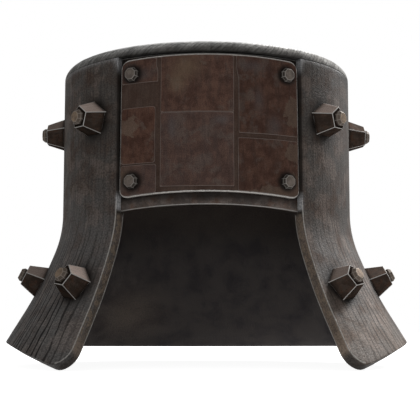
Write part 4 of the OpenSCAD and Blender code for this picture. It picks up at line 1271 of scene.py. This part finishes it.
# the butt joint is at JOINT degrees, and its ends stand JOINT_GAP back
JOINT, JOINT_GAP, WAVE = -205, 0.42, 0.5
grid = np.zeros((210, 19, 2))
for i, az in enumerate(np.radians(np.linspace(JOINT + JOINT_GAP, JOINT + 360 - JOINT_GAP, 210))):
    for j in range(19):
        wave = WAVE * math.sin(5 * az + 1) * (1 if j > 9 else 0.3)
        top = LEATHER_HIGH - 0.8 + min(0, wave)
        grid[i, j] = az * LEATHER_R, TOP - top + (top - LEATHER_LOW - 0.8 - abs(wave) * 0.5) * j / 18
strip = flat_sheet("leather_flat", grid, np.full(grid.shape[:2], LEATHER_THICK), 0.7, layers=1)
band = grow(strip, bend, {**plain_round(LEATHER_R), "Material": leather}, "leather_band")
show("leather_band", band, ["lining_band"])

# %% Stitches along the leather
thread, tree, shader = new_material("waxed thread")
where = put(tree, "ShaderNodeTexCoord").outputs["Object"]
twine = put(tree, "ShaderNodeTexNoise", {"Vector": where, "Scale": 1500.0, "Detail": 2.0}).outputs[0]
tree.links.new(tint(tree, twine, paint(96, 84, 64), paint(140, 124, 98)), shader.inputs["Base Color"])
shader.inputs["Roughness"].default_value = 0.75
stitch = turned("stitch", [(0, -1.7), (0.25, -1.6), (0.38, -1.0), (0.4, 0.0), (0.38, 1.0), (0.25, 1.6), (0, 1.7)], 6)
lay = bmesh.new()
lay.from_mesh(stitch)
bmesh.ops.rotate(lay, verts=lay.verts, cent=(0, 0, 0), matrix=Matrix.Rotation(math.pi / 2, 3, "Y"))
lay.to_mesh(stitch)
lay.free()
FROM_RIM, STITCH_LIFT = 4.2, -2.5
rows = []
for az in np.linspace(-203.5, 153.5, 142):
    rows += [(az, TOP - LEATHER_HIGH + FROM_RIM, 0, STITCH_LIFT), (az, TOP - LEATHER_LOW - FROM_RIM, 0, STITCH_LIFT)]
rows += [(az, TOP - LEATHER_HIGH + 8 + 4.2 * k, 90, STITCH_LIFT) for k in range(8) for az in (-203.2, 153.2)]
show("leather_stitches", seated("leather_stitches", stitch, rows, thread, sizes=plain_round(LEATHER_R)))

# %% [markdown]
# ## The padded crown lining
# Under the crown sits a round pad of coarse quilted linen. Its seams hold it down in a diamond pattern and the
# stuffing swells between them, which is what a cloth simulation does well: we hold the seams and the side that
# lies on the iron, let air pressure fill the rest, and cap how far it may go. The narrow channels of the seams
# are pressed in afterwards, because the remesh is too coarse to keep them.

# %% Woven cloth
weave, at, to = group_of("Plain weave", "ShaderNodeTree", [
    ("Vector", "Vector", None), ("Thread Size", "Float", 0.0012), ("Unevenness", "Float", 0.5)],
    [("Height", "Float"), ("Holes", "Float"), ("Thread Tone", "Float")])
plus, minus, times = maths(weave)
spots = stretched(weave, at["Vector"], at["Thread Size"], at["Thread Size"])
spots = put(weave, "ShaderNodeSeparateXYZ", {0: spots}).outputs
lumps = times(minus(grains(weave, at["Vector"], 260.0, 3.0), 0.5), at["Unevenness"])
waves = [sum_of(weave, "SINE", times(plus(spots[axis], lumps), math.pi)) for axis in (0, 1)]
height = sum_of(weave, "ABSOLUTE", times(*waves))
weave.links.new(height, to["Height"])
weave.links.new(step_between(weave, height, 0.22, 0.02), to["Holes"])
yarn = stretched(weave, at["Vector"], at["Thread Size"], times(at["Thread Size"], 14.0))
weave.links.new(grains(weave, yarn, 1.0, 2.0), to["Thread Tone"])

linen, tree, shader = new_material("quilted linen")
times = partial(sum_of, tree, "MULTIPLY")
where = put(tree, "ShaderNodeTexCoord").outputs["Object"]
cloth = put(tree, "ShaderNodeGroup", {"Vector": where}, node_tree=weave).outputs
clouds = put(tree, "ShaderNodeGroup", {"Vector": where, "Cloud Size": 0.03, "Softness": 0.25}, node_tree=stained)
colour = tint(tree, cloth["Thread Tone"], paint(104, 92, 76), paint(134, 120, 100))
colour = tint(tree, times(clouds.outputs["Mask"], 0.6), colour, paint(92, 76, 60))
colour = tint(tree, times(cloth["Holes"], 0.6), colour, paint(52, 44, 36))
# the pressed seams are darkened as painted shade
colour = tint(tree, times(read_number(tree, "seam"), 0.55), colour, paint(50, 42, 34))
tree.links.new(colour, shader.inputs["Base Color"])
for socket, value in (("Roughness", 0.9), ("Specular IOR Level", 0.15), ("Sheen Weight", 0.15)):
    shader.inputs[socket].default_value = value
uneven = put(tree, "ShaderNodeBump", {"Height": cloth["Height"], "Strength": 0.5, "Distance": 0.0005}).outputs[0]
tree.links.new(uneven, shader.inputs["Normal"])
print("material", linen.name)

# %% The pad before it is filled
PITCH, SEAM_R = 30.0, 96.0
# flat above, rounded at the side and swelling a little towards the middle below
outline = [(0, 218.5)] + [(r, 218.5) for r in np.linspace(8, 99, 12)]
outline += [(101.4, 218.0), (102.4, 216.6), (102.2, 214.6), (100.8, 213.2), (98.5, 212.6)]
outline += [(r, 211.4 + 1.2 * (r / 98.5) ** 2) for r in np.linspace(90, 8, 12)] + [(0, 211.4)]


def from_seam(x, y):
    """How far a place is from the nearest line of stitches, in mm."""
    p, q = (x + y) / math.sqrt(2), (y - x) / math.sqrt(2)
    gap = min(abs((t / PITCH + 0.5) % 1 - 0.5) * PITCH for t in (p, q))
    return min(gap if math.hypot(x, y) < SEAM_R else 99.0, abs(math.hypot(x, y) - SEAM_R))


def after_modifier(name, mesh, kind, **settings):
    holder = in_scene(name, mesh)
    made = holder.modifiers.new(name, kind)
    for key, value in settings.items():
        setattr(made, key, value)
    return plain_mesh(holder, name)


pad = after_modifier("pad", turned("pad", outline, 96), "REMESH", mode="VOXEL", voxel_size=4.5 * mm)
print("the pad has", len(pad.vertices), "points")

# %% Filling the pad
def filled(mesh, held, pressure, frames, cap):
    """Cloth simulation with air inside. Points in held stay, and no other point moves more than cap mm."""
    before = np.array([tuple(v.co) for v in mesh.vertices])
    holder = in_scene("pad_cloth", mesh)
    holder.vertex_groups.new(name="held").add([int(k) for k in np.where(held)[0]], 1.0, "REPLACE")
    cloth = holder.modifiers.new("fill", "CLOTH").settings
    cloth.quality = 6
    cloth.vertex_group_mass = "held"
    cloth.use_pressure = True
    cloth.uniform_pressure_force = pressure
    cloth.effector_weights.gravity = 0
    for k in range(1, frames + 1):
        bpy.context.scene.frame_set(k)
    after = plain_mesh(holder, "pad_filled")
    moves = np.array([tuple(v.co) for v in after.vertices]) - before
    length = np.linalg.norm(moves, axis=1)
    print("the stuffing moves the cloth by up to", round(length.max() / mm, 1), "mm")
    moves *= np.minimum(1, cap * mm / np.maximum(length, 1e-9))[:, None]
    after.vertices.foreach_set("co", (before + moves).ravel())
    bpy.context.scene.frame_set(1)
    return after


spots = [v.co / mm for v in pad.vertices]
held = np.array([v.z > 217.6 or (v.z < 214 and from_seam(v.x, v.y) < 2.4) for v in spots])
pad = filled(pad, held, pressure=4.0, frames=20, cap=5.0)
pad = after_modifier("pad", pad, "SUBSURF", levels=1, render_levels=1)
# how wide and deep the seams are pressed, and the space the pad has to stay in
SEAM_WIDE, SEAM_DEEP, PAD_LOW, PAD_HIGH, PAD_R = 1.7, 1.0, 207.1, 218.75, 103.7
seams = []
for vert in pad.vertices:
    x, y, z = vert.co / mm
    press = math.exp(-(from_seam(x, y) / SEAM_WIDE) ** 2) if z < 215 else 0.0
    inward = min(1.0, PAD_R / max(math.hypot(x, y), 1e-6))
    vert.co = Vector((x * inward, y * inward, min(max(z + SEAM_DEEP * press, PAD_LOW), PAD_HIGH))) * mm
    seams.append(press)
note(pad, "seam", seams)
lining = show("crown_lining_pad", one_material(pad, linen), ["crown_lining"])

# %% [markdown]
# ## The quilting stitches
# The stitches follow the seams. The tree turns each seam's line into evenly spaced points, drops every point
# onto the pad with a ray, turns a stitch along the line and copies it there.

# %% Tree: stitches along a seam
sew, at, to = group_of("Stitches along a seam", "GeometryNodeTree", [
    ("Geometry", "Geometry", None), ("Pad", "Object", None), ("Stitch", "Object", None),
    ("Spacing", "Float", 0.0045), ("Sink", "Float", 0.0002), ("Variety Seed", "Int", 5),
    ("Material", "Material", None)], [("Geometry", "Geometry")])
line = put(sew, "GeometryNodeMeshToCurve", {"Mesh": at["Geometry"]}).outputs[0]
dots = put(sew, "GeometryNodeCurveToPoints", {"Curve": line, "Length": at["Spacing"]}, mode="LENGTH").outputs
below = put(sew, "ShaderNodeVectorMath", {0: put(sew, "GeometryNodeInputPosition").outputs[0], 1: (0, 0, -0.03)},
            operation="ADD").outputs[0]
pad_shape = put(sew, "GeometryNodeObjectInfo", {"Object": at["Pad"]}).outputs["Geometry"]
hit = put(sew, "GeometryNodeRaycast", {"Target Geometry": pad_shape, "Source Position": below,
                                       "Ray Direction": (0, 0, 1), "Ray Length": 0.08}).outputs["Hit Position"]
sunk = put(sew, "ShaderNodeVectorMath", {0: hit, 1: combined(sew, 0.0, 0.0, at["Sink"])}, operation="ADD").outputs[0]
landed = put(sew, "GeometryNodeSetPosition", {"Geometry": dots["Points"], "Position": sunk}).outputs[0]
aim = put(sew, "FunctionNodeAlignRotationToVector", {"Vector": dots["Tangent"]}, axis="X").outputs[0]
sway = put(sew, "FunctionNodeRandomValue", {"Min": -0.12, "Max": 0.12, "Seed": at["Variety Seed"]},
           data_type="FLOAT").outputs[1]
crooked = put(sew, "FunctionNodeEulerToRotation", {0: combined(sew, 0.0, 0.0, sway)}).outputs[0]
aim = put(sew, "FunctionNodeRotateRotation", {0: aim, 1: crooked}, rotation_space="GLOBAL").outputs[0]
unit = put(sew, "GeometryNodeObjectInfo", {"Object": at["Stitch"]}).outputs["Geometry"]
copies = put(sew, "GeometryNodeInstanceOnPoints", {"Points": landed, "Instance": unit, "Rotation": aim}).outputs[0]
close_tree(sew, copies, at, to)

# %% Stitches on the pad
PATH_Z, ROUND_STEPS, SHORT_OF = 0.205, 96, 1.5
paths, links = [], []
for side in (1, -1):
    for k in range(-3, 4):
        half_length = math.sqrt((SEAM_R - SHORT_OF) ** 2 - (k * PITCH) ** 2)
        links.append((len(paths), len(paths) + 1))
        for t in (-half_length, half_length):
            end = Vector((t + k * PITCH, side * (t - k * PITCH))) / math.sqrt(2)
            paths.append((*(end * mm), PATH_Z))
start = len(paths)
for k in range(ROUND_STEPS):
    a = math.tau * k / ROUND_STEPS
    paths.append((SEAM_R * mm * math.cos(a), SEAM_R * mm * math.sin(a), PATH_Z))
    links.append((start + k, start + (k + 1) % ROUND_STEPS))
lines_mesh = bpy.data.meshes.new("seam_lines")
lines_mesh.from_pydata(paths, links, [])
stitch_piece = bpy.data.objects.new("stitch_piece", stitch)
sewn = grow(lines_mesh, sew, {"Pad": lining, "Stitch": stitch_piece, "Material": thread}, "quilting_stitches")
bpy.data.objects.remove(stitch_piece)
show("quilting_stitches", sewn)

# %% [markdown]
# ## Plain light and a pale floor
# A big lamp stands high on the right and a little behind, a weak one in front, and the world gives a dim light
# from all sides. The world is white only to the camera, and the floor only to the camera and in reflections, so
# neither puts more light on the iron.

# %% Light and stage
WHITE = (1, 1, 1, 1)
world = bpy.data.worlds.new("studio")
bpy.context.scene.world = world
world.use_nodes = True
sky = world.node_tree
sky.nodes.clear()
dim, white = [put(sky, "ShaderNodeBackground", {"Color": WHITE, "Strength": s}).outputs[0] for s in (0.42, 1.0)]
path = put(sky, "ShaderNodeLightPath").outputs
mixed = put(sky, "ShaderNodeMixShader", {0: path["Is Camera Ray"], 1: dim, 2: white}).outputs[0]
put(sky, "ShaderNodeOutputWorld", {"Surface": mixed})


def lamp(name, place, aim, size, power):
    made = bpy.data.objects.new(name, bpy.data.lights.new(name, "AREA"))
    made.data.size = size
    made.data.energy = power
    made.location = place
    made.rotation_euler = (Vector(aim) - Vector(place)).to_track_quat("-Z", "Y").to_euler()
    bpy.context.scene.collection.objects.link(made)


lamp("key", (0.9, 0.68, 1.09), (0, 0, 0.1), 0.6, 58)
lamp("fill", (-0.3, -1.5, 0.2), (0, 0, 0.1), 0.9, 3.5)

floor_mesh = bpy.data.meshes.new("floor")
floor_mesh.from_pydata([(-12, -12, 0), (12, -12, 0), (12, 12, 0), (-12, 12, 0)], [], [(0, 1, 2, 3)])
floor = in_scene("floor", floor_mesh)
floor.location.z = cad_low.z - 0.0002
pale, tree, _ = new_material("pale floor")
tree.nodes.clear()
path = put(tree, "ShaderNodeLightPath").outputs
seen = sum_of(tree, "MAXIMUM", path["Is Camera Ray"], path["Is Glossy Ray"])
matt = put(tree, "ShaderNodeBsdfDiffuse", {"Color": (0.4, 0.4, 0.4, 1)}).outputs[0]
glow = put(tree, "ShaderNodeEmission", {"Color": WHITE, "Strength": 0.93}).outputs[0]
lit = put(tree, "ShaderNodeAddShader", {0: matt, 1: glow}).outputs[0]
mixed = put(tree, "ShaderNodeMixShader", {0: seen, 1: matt, 2: lit}).outputs[0]
put(tree, "ShaderNodeOutputMaterial", {"Surface": mixed})
floor_mesh.materials.append(pale)
bpy.context.scene.view_settings.view_transform = "Standard"
print("stage ready")
